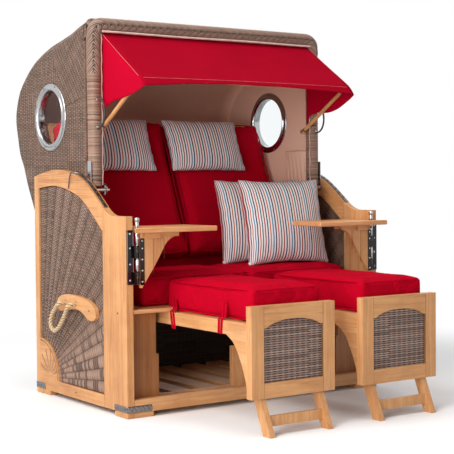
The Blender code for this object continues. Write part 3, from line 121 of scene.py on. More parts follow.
def putMesh(name, points, faces, body, material, uv=None, marks=None, smooth=True):
    # One mesh from arrays: points shifted into the frame, quads (a repeated corner makes a triangle).
    points = np.asarray(points, float).reshape(-1, 3) + (0, shiftY, 0)
    faces = np.asarray(faces)
    mesh = bpy.data.meshes.new(name)
    mesh.vertices.add(len(points))
    mesh.vertices.foreach_set("co", points.astype(np.float32).ravel())
    mesh.loops.add(faces.size)
    mesh.loops.foreach_set("vertex_index", faces.astype(np.int32).ravel())
    mesh.polygons.add(len(faces))
    mesh.polygons.foreach_set("loop_start", np.arange(len(faces), dtype=np.int32) * faces.shape[1])
    mesh.update(calc_edges=True)
    if uv is not None:
        layer = mesh.uv_layers.new(name="UVMap")
        uv = np.asarray(uv, np.float32)
        layer.data.foreach_set("uv", (uv[faces.ravel()] if len(uv) == len(points) else uv).ravel())
    for key, values in (marks or {}).items():
        mark = mesh.attributes.new(key, "FLOAT", "POINT")
        mark.data.foreach_set("value", np.asarray(values, np.float32).ravel())
    mesh.validate()
    mesh.polygons.foreach_set("use_smooth", np.full(len(mesh.polygons), smooth))
    obj = bpy.data.objects.new(name, mesh)
    bpy.context.scene.collection.objects.link(obj)
    for entry in material if isinstance(material, (list, tuple)) else [material]:
        mesh.materials.append(entry)
    if body:
        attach(obj, body)
    return obj


def frames(path, closed=False, up=(0, 0, 1)):
    # Tangent of each point and two directions across it, carried along without twist.
    path = np.asarray(path, float)
    if closed:
        ahead = np.roll(path, -1, 0) - np.roll(path, 1, 0)
    else:
        ahead = np.gradient(path, axis=0)
    ahead /= np.linalg.norm(ahead, axis=1)[:, None]
    first = np.cross(ahead[0], up)
    if np.linalg.norm(first) < 0.1:
        first = np.cross(ahead[0], (1, 0, 0))
    across = [first / np.linalg.norm(first)]
    for way in ahead[1:]:
        step = across[-1] - way * np.dot(across[-1], way)
        across.append(step / np.linalg.norm(step))
    across = np.array(across)
    if closed:
        return ahead, across, np.cross(ahead, across)
    return ahead, across, np.cross(ahead, across)


def tubeMesh(name, path, radius, body, material, around=10, closed=False, uvs=False, up=(0, 0, 1), flat=1.0):
    # Circle of `around` points carried along the path: p + r (across cos a + over sin a); ends drawn to a point.
    path = np.asarray(path, float)
    ahead, across, over = frames(path, closed, up)
    angle = np.linspace(0, 2 * np.pi, around, endpoint=False)
    radius = np.broadcast_to(np.asarray(radius, float), (len(path), around)) if np.ndim(radius) != 1 else \
        np.repeat(np.asarray(radius)[:, None], around, 1)
    ring = (path[:, None] + across[:, None] * (np.cos(angle)[None, :, None] * radius[..., None])
            + over[:, None] * (np.sin(angle)[None, :, None] * radius[..., None] * flat))
    if not closed:
        ring = np.concatenate([np.repeat(path[:1, None], around, 1), ring, np.repeat(path[-1:, None], around, 1)])
    faces = gridFaces(len(ring), around, closed, True)
    uv = None
    if uvs:
        run = np.concatenate([[0], np.cumsum(np.linalg.norm(np.diff(path, axis=0), axis=1))])
        run = run if closed else np.concatenate([run[:1], run, run[-1:]])
        uv = np.stack(np.broadcast_arrays(angle[None, :] / (2 * np.pi) * 0.05, run[:, None]), axis=-1).reshape(-1, 2)
    obj = putMesh(name, ring, faces, body, material, uv)
    weld(obj)
    return obj


def weld(obj, distance=0.00002):
    work = bmesh.new()
    work.from_mesh(obj.data)
    bmesh.ops.remove_doubles(work, verts=work.verts, dist=distance)
    bmesh.ops.recalc_face_normals(work, faces=work.faces)
    work.to_mesh(obj.data)
    work.free()


def joinArrays(parts):
    # Several (points, faces) pairs as one.
    points, faces, start = [], [], 0
    for p, f in parts:
        p = np.asarray(p, float).reshape(-1, 3)
        points.append(p)
        faces.append(np.asarray(f) + start)
        start += len(p)
    return np.vstack(points), np.vstack(faces)


def roundBar(outline, low, high, axis, bevel=0.0, middle=None):
    # Closed outline between two depths with its edges drawn in: four rings and two centre points.
    outline = np.asarray(outline, float)
    middle = outline.mean(0) if middle is None else np.asarray(middle, float)
    small = middle + (outline - middle) * (1 - bevel / max(np.ptp(outline, axis=0).max() / 2, 1e-6))
    rings = [(small * 0 + middle, low), (small, low), (outline, low + bevel), (outline, high - bevel), (small, high),
             (small * 0 + middle, high)]
    layers = []
    for shape, depth in rings:
        d = np.full(len(shape), depth)
        order = {"x": (d, shape[:, 0], shape[:, 1]), "y": (shape[:, 0], d, shape[:, 1]),
                 "z": (shape[:, 0], shape[:, 1], d)}[axis]
        layers.append(np.stack(order, axis=1))
    return np.array(layers), gridFaces(len(rings), len(outline), False, True)


def lathe(place, way, profile, around=24, closed=False):
    # The profile's points (reach, out) turned round the line that starts at `place` and runs along `way`.
    way = np.asarray(way, float) / np.linalg.norm(way)
    first = np.cross(way, (0, 0, 1) if abs(way[2]) < 0.9 else (1, 0, 0))
    first /= np.linalg.norm(first)
    second = np.cross(way, first)
    a = np.linspace(0, 2 * np.pi, around, endpoint=False)[None, :, None]
    reach, out = (np.asarray(profile, float)[:, k][:, None, None] for k in (0, 1))
    return np.asarray(place, float) + way * out + reach * (np.cos(a) * first + np.sin(a) * second), \
        gridFaces(len(profile), around, closed, True)


def plateOutline(low, high, corner, steps=4):
    # Rectangle with its corners rounded by quarter circles.
    (a, b), (c, d) = low, high
    spots = ((c - corner, d - corner, 0), (a + corner, d - corner, 1), (a + corner, b + corner, 2), (c - corner, b + corner, 3))
    turns = np.linspace(0, np.pi / 2, steps)
    return [(x + corner * math.cos(t + k * np.pi / 2), y + corner * math.sin(t + k * np.pi / 2))
            for x, y, k in spots for t in turns]


screwShape = ((0.0001, -0.0006), (1.0, -0.0006), (1.0, 0.0003), (0.86, 0.0011), (0.45, 0.0016), (0.30, 0.0015),
              (0.22, 0.0006), (0.0001, 0.0006))


def screws(name, spots, radius, body, material):
    # Domed heads with a small recess, one mesh for the group; each spot is (place, way).
    parts = [lathe(place, way, [(a * radius, b) for a, b in screwShape], 14) for place, way in spots]
    points, faces = joinArrays(parts)
    obj = putMesh(name, points, faces, body, material)
    weld(obj, 0.00001)
    return obj


def plates(name, shapes, body, material, smooth=False):
    # Flat bars with rounded outlines, one mesh for the group; each shape is (outline, low, high, axis, bevel).
    points, faces = joinArrays([roundBar(*shape) for shape in shapes])
    obj = putMesh(name, points, faces, body, material, smooth=smooth)
    weld(obj, 0.00001)
    return obj


# Material helpers.
def put(tree, kind, settings=None, sockets=None):
    node = tree.nodes.new(kind)
    for key, value in (settings or {}).items():
        setattr(node, key, value)
    for key, value in (sockets or {}).items():
        if isinstance(value, bpy.types.NodeSocket):
            tree.links.new(value, node.inputs[key])
        else:
            node.inputs[key].default_value = value
    return node


def calc(tree, operation, a, b=0.0, c=0.0, clamp=False):
    return put(tree, "ShaderNodeMath", {"operation": operation, "use_clamp": clamp}, {0: a, 1: b, 2: c}).outputs[0]


def remap(tree, value, fromLow, fromHigh, toLow=0.0, toHigh=1.0, smooth=True):
    kind = {"interpolation_type": "SMOOTHSTEP" if smooth else "LINEAR"}
    return put(tree, "ShaderNodeMapRange", kind, {"Value": value, "From Min": fromLow, "From Max": fromHigh,
                                                  "To Min": toLow, "To Max": toHigh}).outputs["Result"]


def blendColour(tree, factor, a, b, mode="MIX"):
    node = put(tree, "ShaderNodeMix", {"data_type": "RGBA", "blend_type": mode, "clamp_factor": True})
    for socket, value in ((node.inputs[0], factor), (node.inputs[6], a), (node.inputs[7], b)):
        if isinstance(value, bpy.types.NodeSocket):
            tree.links.new(value, socket)
        else:
            socket.default_value = value
    return node.outputs[2]


def noise(tree, vector, scale, detail=3.0, rough=0.55, distortion=0.0):
    return put(tree, "ShaderNodeTexNoise", None, {"Vector": vector, "Scale": scale, "Detail": detail,
                                                  "Roughness": rough, "Distortion": distortion}).outputs["Fac"]


def stretch(tree, vector, scale, place=(0, 0, 0), turn=(0, 0, 0)):
    return put(tree, "ShaderNodeMapping", None, {"Vector": vector, "Scale": scale, "Location": place,
                                                 "Rotation": turn}).outputs["Vector"]


def newGroup(name, ins, outs):
    group = bpy.data.node_groups.new(name, "ShaderNodeTree")
    kinds = {"v": "NodeSocketVector", "c": "NodeSocketColor", "f": "NodeSocketFloat"}
    for label, kind, value in ins:
        socket = group.interface.new_socket(label, in_out="INPUT", socket_type=kinds[kind])
        if value is not None:
            socket.default_value = value
    for label, kind in outs:
        group.interface.new_socket(label, in_out="OUTPUT", socket_type=kinds[kind])
    return group, group.nodes.new("NodeGroupInput").outputs, group.nodes.new("NodeGroupOutput").inputs


def useGroup(tree, group, sockets):
    return put(tree, "ShaderNodeGroup", {"node_tree": group}, sockets).outputs


def newMaterial(name, settings=None):
    material = bpy.data.materials.new(name)
    material.use_nodes = True
    tree = material.node_tree
    shader = next(n for n in tree.nodes if n.type == "BSDF_PRINCIPLED")
    for key, value in (settings or {}).items():
        shader.inputs[key].default_value = value
    return material, tree, shader


def coords(tree, source="Object"):
    return put(tree, "ShaderNodeTexCoord").outputs[source]


def markOf(tree, name):
    return put(tree, "ShaderNodeAttribute", {"attribute_name": name}).outputs["Fac"]


def addBump(tree, shader, height, distance, strength=1.0):
    bump = put(tree, "ShaderNodeBump", None, {"Height": height, "Distance": distance, "Strength": strength})
    tree.links.new(bump.outputs["Normal"], shader.inputs["Normal"])


# Shared effects.
def makeGrain():
    # Grain along the vector's z: wide growth bands and fine fibres, both noises drawn out along z.
    group, ins, outs = newGroup("woodGrain", [("Vector", "v", None), ("Dark", "c", (0.43, 0.16, 0.05, 1)),
                                              ("Middle", "c", (0.67, 0.33, 0.13, 1)),
                                              ("Light", "c", (0.78, 0.45, 0.22, 1))],
                                [("Color", "c"), ("Rough", "f"), ("Height", "f")])
    vector = ins["Vector"]
    bend = noise(group, stretch(group, vector, (2.2, 2.2, 0.7)), 1.0, 2.0)
    bands = noise(group, stretch(group, vector, (30, 30, 1.3)), 1.0, 3.0, 0.5, 0.6)
    rings = calc(group, "SINE", calc(group, "MULTIPLY_ADD", bands, 26.0, calc(group, "MULTIPLY", bend, 9.0)))
    fibre = noise(group, stretch(group, vector, (420, 420, 11)), 1.0, 3.0, 0.6)
    pores = noise(group, stretch(group, vector, (900, 900, 30)), 1.0, 1.0)
    share = calc(group, "MULTIPLY_ADD", rings, 0.11, calc(group, "MULTIPLY_ADD", bend, 0.6, 0.22))
    share = calc(group, "MULTIPLY_ADD", calc(group, "SUBTRACT", fibre, 0.5), 0.60, share)
    dark = blendColour(group, remap(group, share, 0.12, 0.48), ins["Dark"], ins["Middle"])
    colour = blendColour(group, remap(group, share, 0.48, 0.85), dark, ins["Light"])
    speck = remap(group, pores, 0.30, 0.42)
    colour = blendColour(group, calc(group, "MULTIPLY_ADD", speck, 0.25, 0.75), ins["Dark"], colour)
    group.links.new(colour, outs["Color"])
    group.links.new(remap(group, fibre, 0.2, 0.8, 0.50, 0.34), outs["Rough"])
    group.links.new(calc(group, "MULTIPLY_ADD", fibre, 0.6, calc(group, "MULTIPLY", speck, 0.4)), outs["Height"])
    return group


def makeWeave():
    # Flat strands over and under stakes: with a = u/stake, b = v/strand, the strand stands sin(pi b)(.55 +- .45
    # sin(pi a)), over one stake and under the next, row by row; the stake shows where it goes under.
    group, ins, outs = newGroup("strandWeave", [("Vector", "v", None), ("Stake", "f", 0.013), ("Strand", "f", 0.0055),
                                                ("Dip", "f", 0.45), ("Round", "f", 0.6)],
                                [("Height", "f"), ("Gap", "f"), ("Tone", "f")])
    parts = put(group, "ShaderNodeSeparateXYZ", None, {0: ins["Vector"]}).outputs
    a, b = calc(group, "DIVIDE", parts[0], ins["Stake"]), calc(group, "DIVIDE", parts[1], ins["Strand"])
    i, j = calc(group, "FLOOR", a), calc(group, "FLOOR", b)
    fa, fb = calc(group, "FRACT", a), calc(group, "FRACT", b)
    parity = calc(group, "FLOORED_MODULO", calc(group, "ADD", i, j), 2.0)
    sign = calc(group, "MULTIPLY_ADD", parity, -2.0, 1.0)
    humpA = calc(group, "SINE", calc(group, "MULTIPLY", fa, math.pi))
    humpB = calc(group, "POWER", calc(group, "SINE", calc(group, "MULTIPLY", fb, math.pi)), ins["Round"])
    level = calc(group, "SUBTRACT", 1.0, ins["Dip"])
    over = calc(group, "MULTIPLY_ADD", calc(group, "MULTIPLY", sign, humpA), ins["Dip"], level)
    weft = calc(group, "MULTIPLY", humpB, over)
    stake = calc(group, "MULTIPLY", calc(group, "MULTIPLY", humpA, parity), 0.55)
    height = calc(group, "MAXIMUM", weft, stake)
    cell = put(group, "ShaderNodeCombineXYZ", None, {0: calc(group, "FLOOR", calc(group, "MULTIPLY", i, 0.13)), 1: j})
    tone = put(group, "ShaderNodeTexWhiteNoise", {"noise_dimensions": "2D"}, {"Vector": cell.outputs[0]}).outputs[0]
    group.links.new(height, outs["Height"])
    # Gap marks the low places between strands; the materials paint it dark as painted shade.
    group.links.new(remap(group, height, 0.62, 0.24), outs["Gap"])
    group.links.new(tone, outs["Tone"])
    return group


def makeWear():
    # Soft dirt and fading: a slow noise, and a faint fine one.
    group, ins, outs = newGroup("softWear", [("Vector", "v", None), ("Scale", "f", 4.0)], [("Mask", "f"), ("Fine", "f")])
    group.links.new(remap(group, noise(group, ins["Vector"], ins["Scale"], 4.0, 0.6), 0.35, 0.7), outs["Mask"])
    group.links.new(noise(group, ins["Vector"], 260.0, 2.0), outs["Fine"])
    return group


grain, weave, wear = makeGrain(), makeWeave(), makeWear()
print("shared effects ready")


# Materials.
wood = {"dark": (0.42, 0.160, 0.050, 1), "middle": (0.67, 0.325, 0.125, 1), "light": (0.79, 0.455, 0.220, 1),
        "bump": 0.0004}


def makeWood(name, along, tint=1.0, fan=False):
    # `along` is the axis that the grain runs on; each turn brings it onto the group's z.
    material, tree, shader = newMaterial(name, {"Coat Weight": 0.12, "Coat Roughness": 0.25, "Specular IOR Level": 0.4})
    place = coords(tree)
    turns = {"x": (0, math.radians(-90), 0), "y": (math.radians(90), 0, 0), "z": (0, 0, 0)}

    def grainOn(axis):
        vector = stretch(tree, place, (1, 1, 1), (0.37, 0.11, 0.23), turns[axis])
        colours = {k: tuple(c * tint for c in wood[k][:3]) + (1,) for k in ("dark", "middle", "light")}
        return useGroup(tree, grain, {"Vector": vector, "Dark": colours["dark"], "Middle": colours["middle"],
                                      "Light": colours["light"]})

    parts = put(tree, "ShaderNodeSeparateXYZ", None, {0: place}).outputs
    if along == "frame":
        # Rear stile upright, rails along y.
        one, two = grainOn("z"), grainOn("y")
        mask = remap(tree, parts[1], base["stileFront"] + shiftY - 0.0005, base["stileFront"] + shiftY + 0.0005)
        colour = blendColour(tree, mask, two["Color"], one["Color"])
        height = calc(tree, "ADD", calc(tree, "MULTIPLY", mask, one["Height"]),
                      calc(tree, "MULTIPLY", calc(tree, "SUBTRACT", 1.0, mask), two["Height"]))
        rough = one["Rough"]
    elif along == "boards":
        # Boards beside the footrest openings: the outer ones are painted darker, as painted shade cast by the front
        # posts.
        one = grainOn("z")
        outer = remap(tree, calc(tree, "ABSOLUTE", parts[0]), 0.20, 0.42)
        colour = blendColour(tree, outer, one["Color"], (0.56, 0.47, 0.41, 1), "MULTIPLY")
        height, rough = one["Height"], one["Rough"]
    elif along == "panel":
        # Footrest panel: stiles upright, rails along x.
        one, two = grainOn("z"), grainOn("x")
        offset = calc(tree, "ABSOLUTE", calc(tree, "SUBTRACT", calc(tree, "ABSOLUTE", parts[0]), 0.261))
        mask = remap(tree, offset, 0.1355, 0.1365)
        colour = blendColour(tree, mask, two["Color"], one["Color"])
        joint = calc(tree, "MULTIPLY", remap(tree, offset, 0.1345, 0.136), remap(tree, offset, 0.1375, 0.136))
        colour = blendColour(tree, calc(tree, "MULTIPLY", joint, 0.75), colour, (0.06, 0.022, 0.01, 1))
        height = calc(tree, "SUBTRACT", one["Height"], calc(tree, "MULTIPLY", joint, 1.5))
        rough = one["Rough"]
    else:
        one = grainOn(along)
        colour, height, rough = one["Color"], one["Height"], one["Rough"]
    if fan:
        # Carved petals of the fan block: |sin(n angle)| round a centre at the block's foot, inside its arc.
        out = calc(tree, "SUBTRACT", base["stileFront"] + shiftY, parts[1])
        up = calc(tree, "SUBTRACT", parts[2], base["sill"])
        angle = calc(tree, "ARCTAN2", up, out)
        reach = calc(tree, "SQRT", calc(tree, "ADD", calc(tree, "MULTIPLY", out, out), calc(tree, "MULTIPLY", up, up)))
        inside = calc(tree, "MULTIPLY", remap(tree, reach, base["fan"] - 0.010, base["fan"] - 0.016),
                      remap(tree, reach, 0.016, 0.022))
        inside = calc(tree, "MULTIPLY", inside, calc(tree, "MULTIPLY", remap(tree, out, 0.002, 0.008),
                                                     remap(tree, up, 0.002, 0.008)))
        acrossFan = calc(tree, "SUBTRACT", parts[1], 0.262 + shiftY)
        upFan = calc(tree, "SUBTRACT", parts[2], 0.086)
        fanTurn = calc(tree, "ARCTAN2", upFan, acrossFan)
        fanReach = calc(tree, "SQRT", calc(tree, "ADD", calc(tree, "MULTIPLY", acrossFan, acrossFan),
                                           calc(tree, "MULTIPLY", upFan, upFan)))
        rays = calc(tree, "ABSOLUTE", calc(tree, "SINE", calc(tree, "MULTIPLY", fanTurn, 8.0)))
        petal = calc(tree, "MULTIPLY", remap(tree, fanReach, 0.014, 0.022), remap(tree, fanReach, 0.125, 0.112))
        petal = calc(tree, "MULTIPLY", petal, remap(tree, upFan, 0.004, 0.008))
        groove = calc(tree, "MULTIPLY", calc(tree, "MULTIPLY", inside, petal), remap(tree, rays, 0.50, 0.0))
        edge = calc(tree, "MULTIPLY", remap(tree, reach, base["fan"] - 0.014, base["fan"] - 0.011),
                    remap(tree, reach, base["fan"] - 0.006, base["fan"] - 0.010))
        edge = calc(tree, "MULTIPLY", edge, calc(tree, "MULTIPLY", remap(tree, out, -0.001, 0.001),
                                                 remap(tree, up, -0.001, 0.001)))
        cut = calc(tree, "MAXIMUM", groove, edge)
        # Painted shade: the carved grooves and the ring cut round the block are painted dark.
        colour = blendColour(tree, calc(tree, "MULTIPLY", cut, 0.72), colour, (0.13, 0.042, 0.014, 1))
        height = calc(tree, "SUBTRACT", height, calc(tree, "MULTIPLY", cut, 6.0))
    stain = useGroup(tree, wear, {"Vector": place, "Scale": 5.0})
    colour = blendColour(tree, calc(tree, "MULTIPLY", stain["Mask"], 0.25), colour, (0.40, 0.17, 0.06, 1), "MULTIPLY")
    tree.links.new(colour, shader.inputs["Base Color"])
    tree.links.new(rough, shader.inputs["Roughness"])
    addBump(tree, shader, height, wood["bump"])
    return material


def stakes(tree, vector, stake, strand, dark, low, high, spread=0.6, dip=0.45, bend=0.6):
    found = useGroup(tree, weave, {"Vector": vector, "Stake": stake, "Strand": strand, "Dip": dip, "Round": bend})
    colour = blendColour(tree, calc(tree, "MULTIPLY", found["Tone"], spread), low, high)
    # Painted shade: the gaps between strands take the dark colour.
    colour = blendColour(tree, found["Gap"], colour, dark)
    return found, colour


# Strand colours: dark is painted shade for the gaps between strands, pink is painted highlight for their crowns.
strand = {"dark": (0.018, 0.010, 0.007, 1), "low": (0.160, 0.088, 0.058, 1), "high": (0.370, 0.225, 0.160, 1),
          "hoodLow": (0.150, 0.088, 0.060, 1), "hoodHigh": (0.315, 0.192, 0.138, 1), "hoodPink": (0.42, 0.27, 0.21, 1),
          "highlightPink": (0.52, 0.345, 0.270, 1)}


def makeHoodWeave(name, stake, row, turn=0.0):
    # Fine checks on metre UVs, with slow bands of lighter strands.
    material, tree, shader = newMaterial(name, {"Specular IOR Level": 0.3})
    vector = coords(tree, "UV")
    if turn:
        vector = stretch(tree, vector, (1, 1, 1), (0, 0, 0), (0, 0, math.radians(turn)))
    found, colour = stakes(tree, vector, stake, row, strand["dark"], strand["hoodLow"], strand["hoodHigh"], 0.5)
    slow = noise(tree, stretch(tree, vector, (60, 9, 1)), 1.0, 3.0)
    colour = blendColour(tree, remap(tree, slow, 0.45, 0.8, 0.0, 0.35), colour, strand["hoodPink"])
    tree.links.new(colour, shader.inputs["Base Color"])
    tree.links.new(remap(tree, found["Height"], 0.2, 1.0, 0.62, 0.40), shader.inputs["Roughness"])
    addBump(tree, shader, found["Height"], 0.0016)
    return material


def makeRibWeave():
    # The ribs' own height and gaps come with the mesh, with its marks of painted shade in the gaps and painted
    # highlight on the crowns; the shader adds each strand's tone and fine lines.
    material, tree, shader = newMaterial("rib_weave", {"Specular IOR Level": 0.25})
    shade, tone, crownHighlight = markOf(tree, "shade"), markOf(tree, "tone"), markOf(tree, "crownHighlight")
    colour = blendColour(tree, tone, strand["low"], strand["high"])
    colour = blendColour(tree, calc(tree, "MULTIPLY", crownHighlight, 0.55), colour, strand["highlightPink"])
    colour = blendColour(tree, shade, colour, strand["dark"])
    fine = noise(tree, stretch(tree, coords(tree), (900, 900, 900)), 1.0, 1.0)
    tree.links.new(colour, shader.inputs["Base Color"])
    tree.links.new(remap(tree, tone, 0.0, 1.0, 0.36, 0.52), shader.inputs["Roughness"])
    addBump(tree, shader, fine, 0.0002)
    return material


def makeInfillWeave():
    # Rib weave plus rows of dots of painted shade where the strands dip over the stakes, on the infill's own polar
    # coordinates.
    material, tree, shader = newMaterial("infill_weave", {"Specular IOR Level": 0.25})
    marks = {key: markOf(tree, key) for key in ("shade", "tone", "crownHighlight", "dots")}
    found = useGroup(tree, weave, {"Vector": coords(tree, "UV"), "Stake": infill["stake"], "Strand": infill["strand"],
                                   "Dip": 0.5, "Round": 0.8})
    colour = blendColour(tree, marks["tone"], strand["low"], strand["high"])
    colour = blendColour(tree, calc(tree, "MULTIPLY", marks["crownHighlight"], 0.6), colour, strand["highlightPink"])
    shade = calc(tree, "MAXIMUM", marks["shade"], calc(tree, "MULTIPLY", found["Gap"], marks["dots"]))
    colour = blendColour(tree, shade, colour, strand["dark"])
    tree.links.new(colour, shader.inputs["Base Color"])
    tree.links.new(remap(tree, marks["tone"], 0.0, 1.0, 0.36, 0.52), shader.inputs["Roughness"])
    addBump(tree, shader, calc(tree, "MULTIPLY", found["Height"], marks["dots"]), 0.0012)
    return material


def makeDarkWeave(name, stake, row, axis, low=(0.200, 0.120, 0.092, 1), high=(0.540, 0.375, 0.305, 1)):
    material, tree, shader = newMaterial(name, {"Specular IOR Level": 0.4})
    parts = put(tree, "ShaderNodeSeparateXYZ", None, {0: coords(tree)}).outputs
    vector = put(tree, "ShaderNodeCombineXYZ", None, {0: parts[axis], 1: parts[2]}).outputs[0]
    found, colour = stakes(tree, vector, stake, row, (0.012, 0.007, 0.005, 1), low, high, 0.7, 0.24, 1.5)
    tree.links.new(colour, shader.inputs["Base Color"])
    tree.links.new(remap(tree, found["Height"], 0.2, 1.0, 0.65, 0.42), shader.inputs["Roughness"])
    addBump(tree, shader, found["Height"], 0.0016)
    return material


def makeCloth(name, colour, dark, sheen=0.0, pitch=0.0011, weaveBump=0.00016, side=None):
    # Plain weave as two crossed sine ridges on object coordinates, over a slow change of depth.
    material, tree, shader = newMaterial(name, {"Sheen Weight": sheen, "Sheen Roughness": 0.45,
                                                "Specular IOR Level": 0.03, "Roughness": 0.9})
    place = coords(tree)
    parts = put(tree, "ShaderNodeSeparateXYZ", None, {0: place}).outputs
    k = 2 * math.pi / pitch
    a = calc(tree, "SINE", calc(tree, "MULTIPLY", calc(tree, "ADD", parts[0], parts[1]), k))
    b = calc(tree, "SINE", calc(tree, "MULTIPLY", calc(tree, "SUBTRACT", parts[2], parts[1]), k))
    threads = calc(tree, "MULTIPLY", calc(tree, "ADD", a, b), 0.5)
    slow = useGroup(tree, wear, {"Vector": place, "Scale": 6.0})
    shade = blendColour(tree, calc(tree, "MULTIPLY", slow["Mask"], 0.45), colour, dark)
    shade = blendColour(tree, remap(tree, slow["Fine"], 0.35, 0.65, 0.0, 0.22), shade, dark)
    if side:
        # Painted light: the side panels, marked on the mesh, are painted lighter than the top.
        shade = blendColour(tree, markOf(tree, "panel"), shade, side)
    tree.links.new(shade, shader.inputs["Base Color"])
    addBump(tree, shader, calc(tree, "ADD", threads, calc(tree, "MULTIPLY", slow["Fine"], 1.5)), weaveBump)
    return material, tree, shader, shade


stripes = {"ground": (0.93, 0.92, 0.91, 1), "navy": (0.012, 0.022, 0.085, 1), "teal": (0.02, 0.15, 0.17, 1),
           "orange": (0.62, 0.10, 0.035, 1), "sky": (0.06, 0.26, 0.45, 1), "rust": (0.40, 0.045, 0.045, 1),
           "repeat": 0.088}


def makeStripes():
    # Constant colour steps across the piece's own U, repeated every `repeat` metres.
    material, tree, shader = newMaterial("striped_cloth", {"Specular IOR Level": 0.10, "Roughness": 0.9})
    uv = coords(tree, "UV")
    parts = put(tree, "ShaderNodeSeparateXYZ", None, {0: uv}).outputs
    share = calc(tree, "FRACT", calc(tree, "DIVIDE", parts[0], stripes["repeat"]))
    ramp = put(tree, "ShaderNodeValToRGB", None, {"Fac": share})
    bands = [(0.0, "navy"), (0.065, "ground"), (0.143, "orange"), (0.205, "ground"), (0.286, "teal"), (0.350, "ground"),
             (0.429, "rust"), (0.490, "ground"), (0.571, "navy"), (0.635, "ground"), (0.714, "orange"), (0.770, "ground"),
             (0.857, "sky"), (0.925, "ground")]
    ramp.color_ramp.interpolation = "CONSTANT"
    elements = ramp.color_ramp.elements
    while len(elements) < len(bands):
        elements.new(0.5)
    for element, (place, key) in zip(elements, bands):
        element.position = place
    for element, (place, key) in zip(elements, bands):
        element.color = stripes[key]
    fine = useGroup(tree, wear, {"Vector": coords(tree), "Scale": 8.0})
    colour = blendColour(tree, calc(tree, "MULTIPLY", fine["Mask"], 0.10), ramp.outputs["Color"], (0.45, 0.43, 0.42, 1))
    tree.links.new(colour, shader.inputs["Base Color"])
    threads = calc(tree, "SINE", calc(tree, "MULTIPLY", parts[1], 2 * math.pi / 0.0012))
    addBump(tree, shader, calc(tree, "ADD", threads, fine["Fine"]), 0.00012)
    return material


def makeChrome(name="chrome", colour=(0.50, 0.50, 0.51, 1), rough=0.13):
    material, tree, shader = newMaterial(name, {"Metallic": 1.0, "Base Color": colour})
    marks = useGroup(tree, wear, {"Vector": coords(tree), "Scale": 22.0})
    tree.links.new(remap(tree, marks["Mask"], 0.0, 1.0, rough, rough + 0.12), shader.inputs["Roughness"])
    addBump(tree, shader, marks["Fine"], 0.00004)
    return material


def makeGlass():
    material, tree, shader = newMaterial("window_glass", {"Transmission Weight": 1.0, "Roughness": 0.02, "IOR": 1.1,
                                                          "Base Color": (0.93, 0.96, 0.97, 1), "Metallic": 0.0})
    return material


def makeRope():
    # Fibres run with the strands: a noise drawn out along the rope's length on its own UV.
    material, tree, shader = newMaterial("twisted_rope", {"Roughness": 0.9, "Specular IOR Level": 0.15,
                                                          "Sheen Weight": 0.2})
    uv = coords(tree, "UV")
    fibre = noise(tree, stretch(tree, uv, (1500, 260, 1), turn=(0, 0, 0.6)), 1.0, 2.0)
    shade = markOf(tree, "shade")
    colour = blendColour(tree, remap(tree, fibre, 0.3, 0.7), (0.50, 0.33, 0.17, 1), (0.80, 0.60, 0.36, 1))
    colour = blendColour(tree, shade, colour, (0.16, 0.090, 0.040, 1))
    tree.links.new(colour, shader.inputs["Base Color"])
    addBump(tree, shader, fibre, 0.0005)
    return material


def makeLining():
    # Tan woven lining: warm cloth with a fine cross rib.
    material, tree, shader, shade = makeCloth("lining_cloth", (0.76, 0.440, 0.320, 1), (0.66, 0.365, 0.255, 1),
                                              0.0, 0.0016, 0.0002)
    # Painted light: the right wall's cloth is painted lighter, where more light falls on it.
    across = put(tree, "ShaderNodeSeparateXYZ", None, {0: coords(tree)}).outputs[0]
    litRightWall = blendColour(tree, remap(tree, across, 0.50, 0.565), shade, (0.93, 0.600, 0.450, 1))
    tree.links.new(litRightWall, shader.inputs["Base Color"])
    return material


def makePlain(name, colour, rough, scale=30.0, bump=0.0001):
    material, tree, shader = newMaterial(name, {"Specular IOR Level": 0.4})
    marks = useGroup(tree, wear, {"Vector": coords(tree), "Scale": scale})
    darker = tuple(c * 0.7 for c in colour[:3]) + (1,)
    tree.links.new(blendColour(tree, marks["Mask"], colour, darker), shader.inputs["Base Color"])
    tree.links.new(remap(tree, marks["Fine"], 0.3, 0.7, rough - 0.08, rough + 0.08), shader.inputs["Roughness"])
    addBump(tree, shader, marks["Fine"], bump)
    return material


infill = {"ribs": 17, "perRib": 10, "strand": 0.0078, "perStrand": 3, "rib": 0.0036, "relief": 0.0014,
          "face": 0.6324, "back": 0.6194, "rim": 0.0006, "stake": 0.0115, "pinkRibs": (13, 14, 11), "bands": 0.30}

woodX, woodY, woodZ = makeWood("teak_across", "x"), makeWood("teak_deep", "y"), makeWood("teak_upright", "z")
woodFrame, woodPanel = makeWood("teak_side_frame", "frame", fan=True), makeWood("teak_panel", "panel")
woodBoards, woodTable = makeWood("teak_boards", "boards"), makeWood("teak_table", "x", 1.12)
hoodWeave, ribWeave, infillWeave = makeHoodWeave("hood_weave", 0.0200, 0.0073), makeRibWeave(), makeInfillWeave()
bandWeave = makeHoodWeave("band_weave", 0.0170, 0.0062, 38.0)
darkWeaveFront = makeDarkWeave("panel_weave", 0.0265, 0.0084, 0)
# The base's rear weave is painted near-black as painted shade inside the base.
shadedWeaveRear = makeDarkWeave("rear_weave_painted_shade", 0.022, 0.009, 0, (0.016, 0.010, 0.008, 1), (0.060, 0.042, 0.036, 1))
redCloth = makeCloth("red_cloth", (0.52, 0.0011, 0.017, 1), (0.41, 0.0009, 0.013, 1))[0]
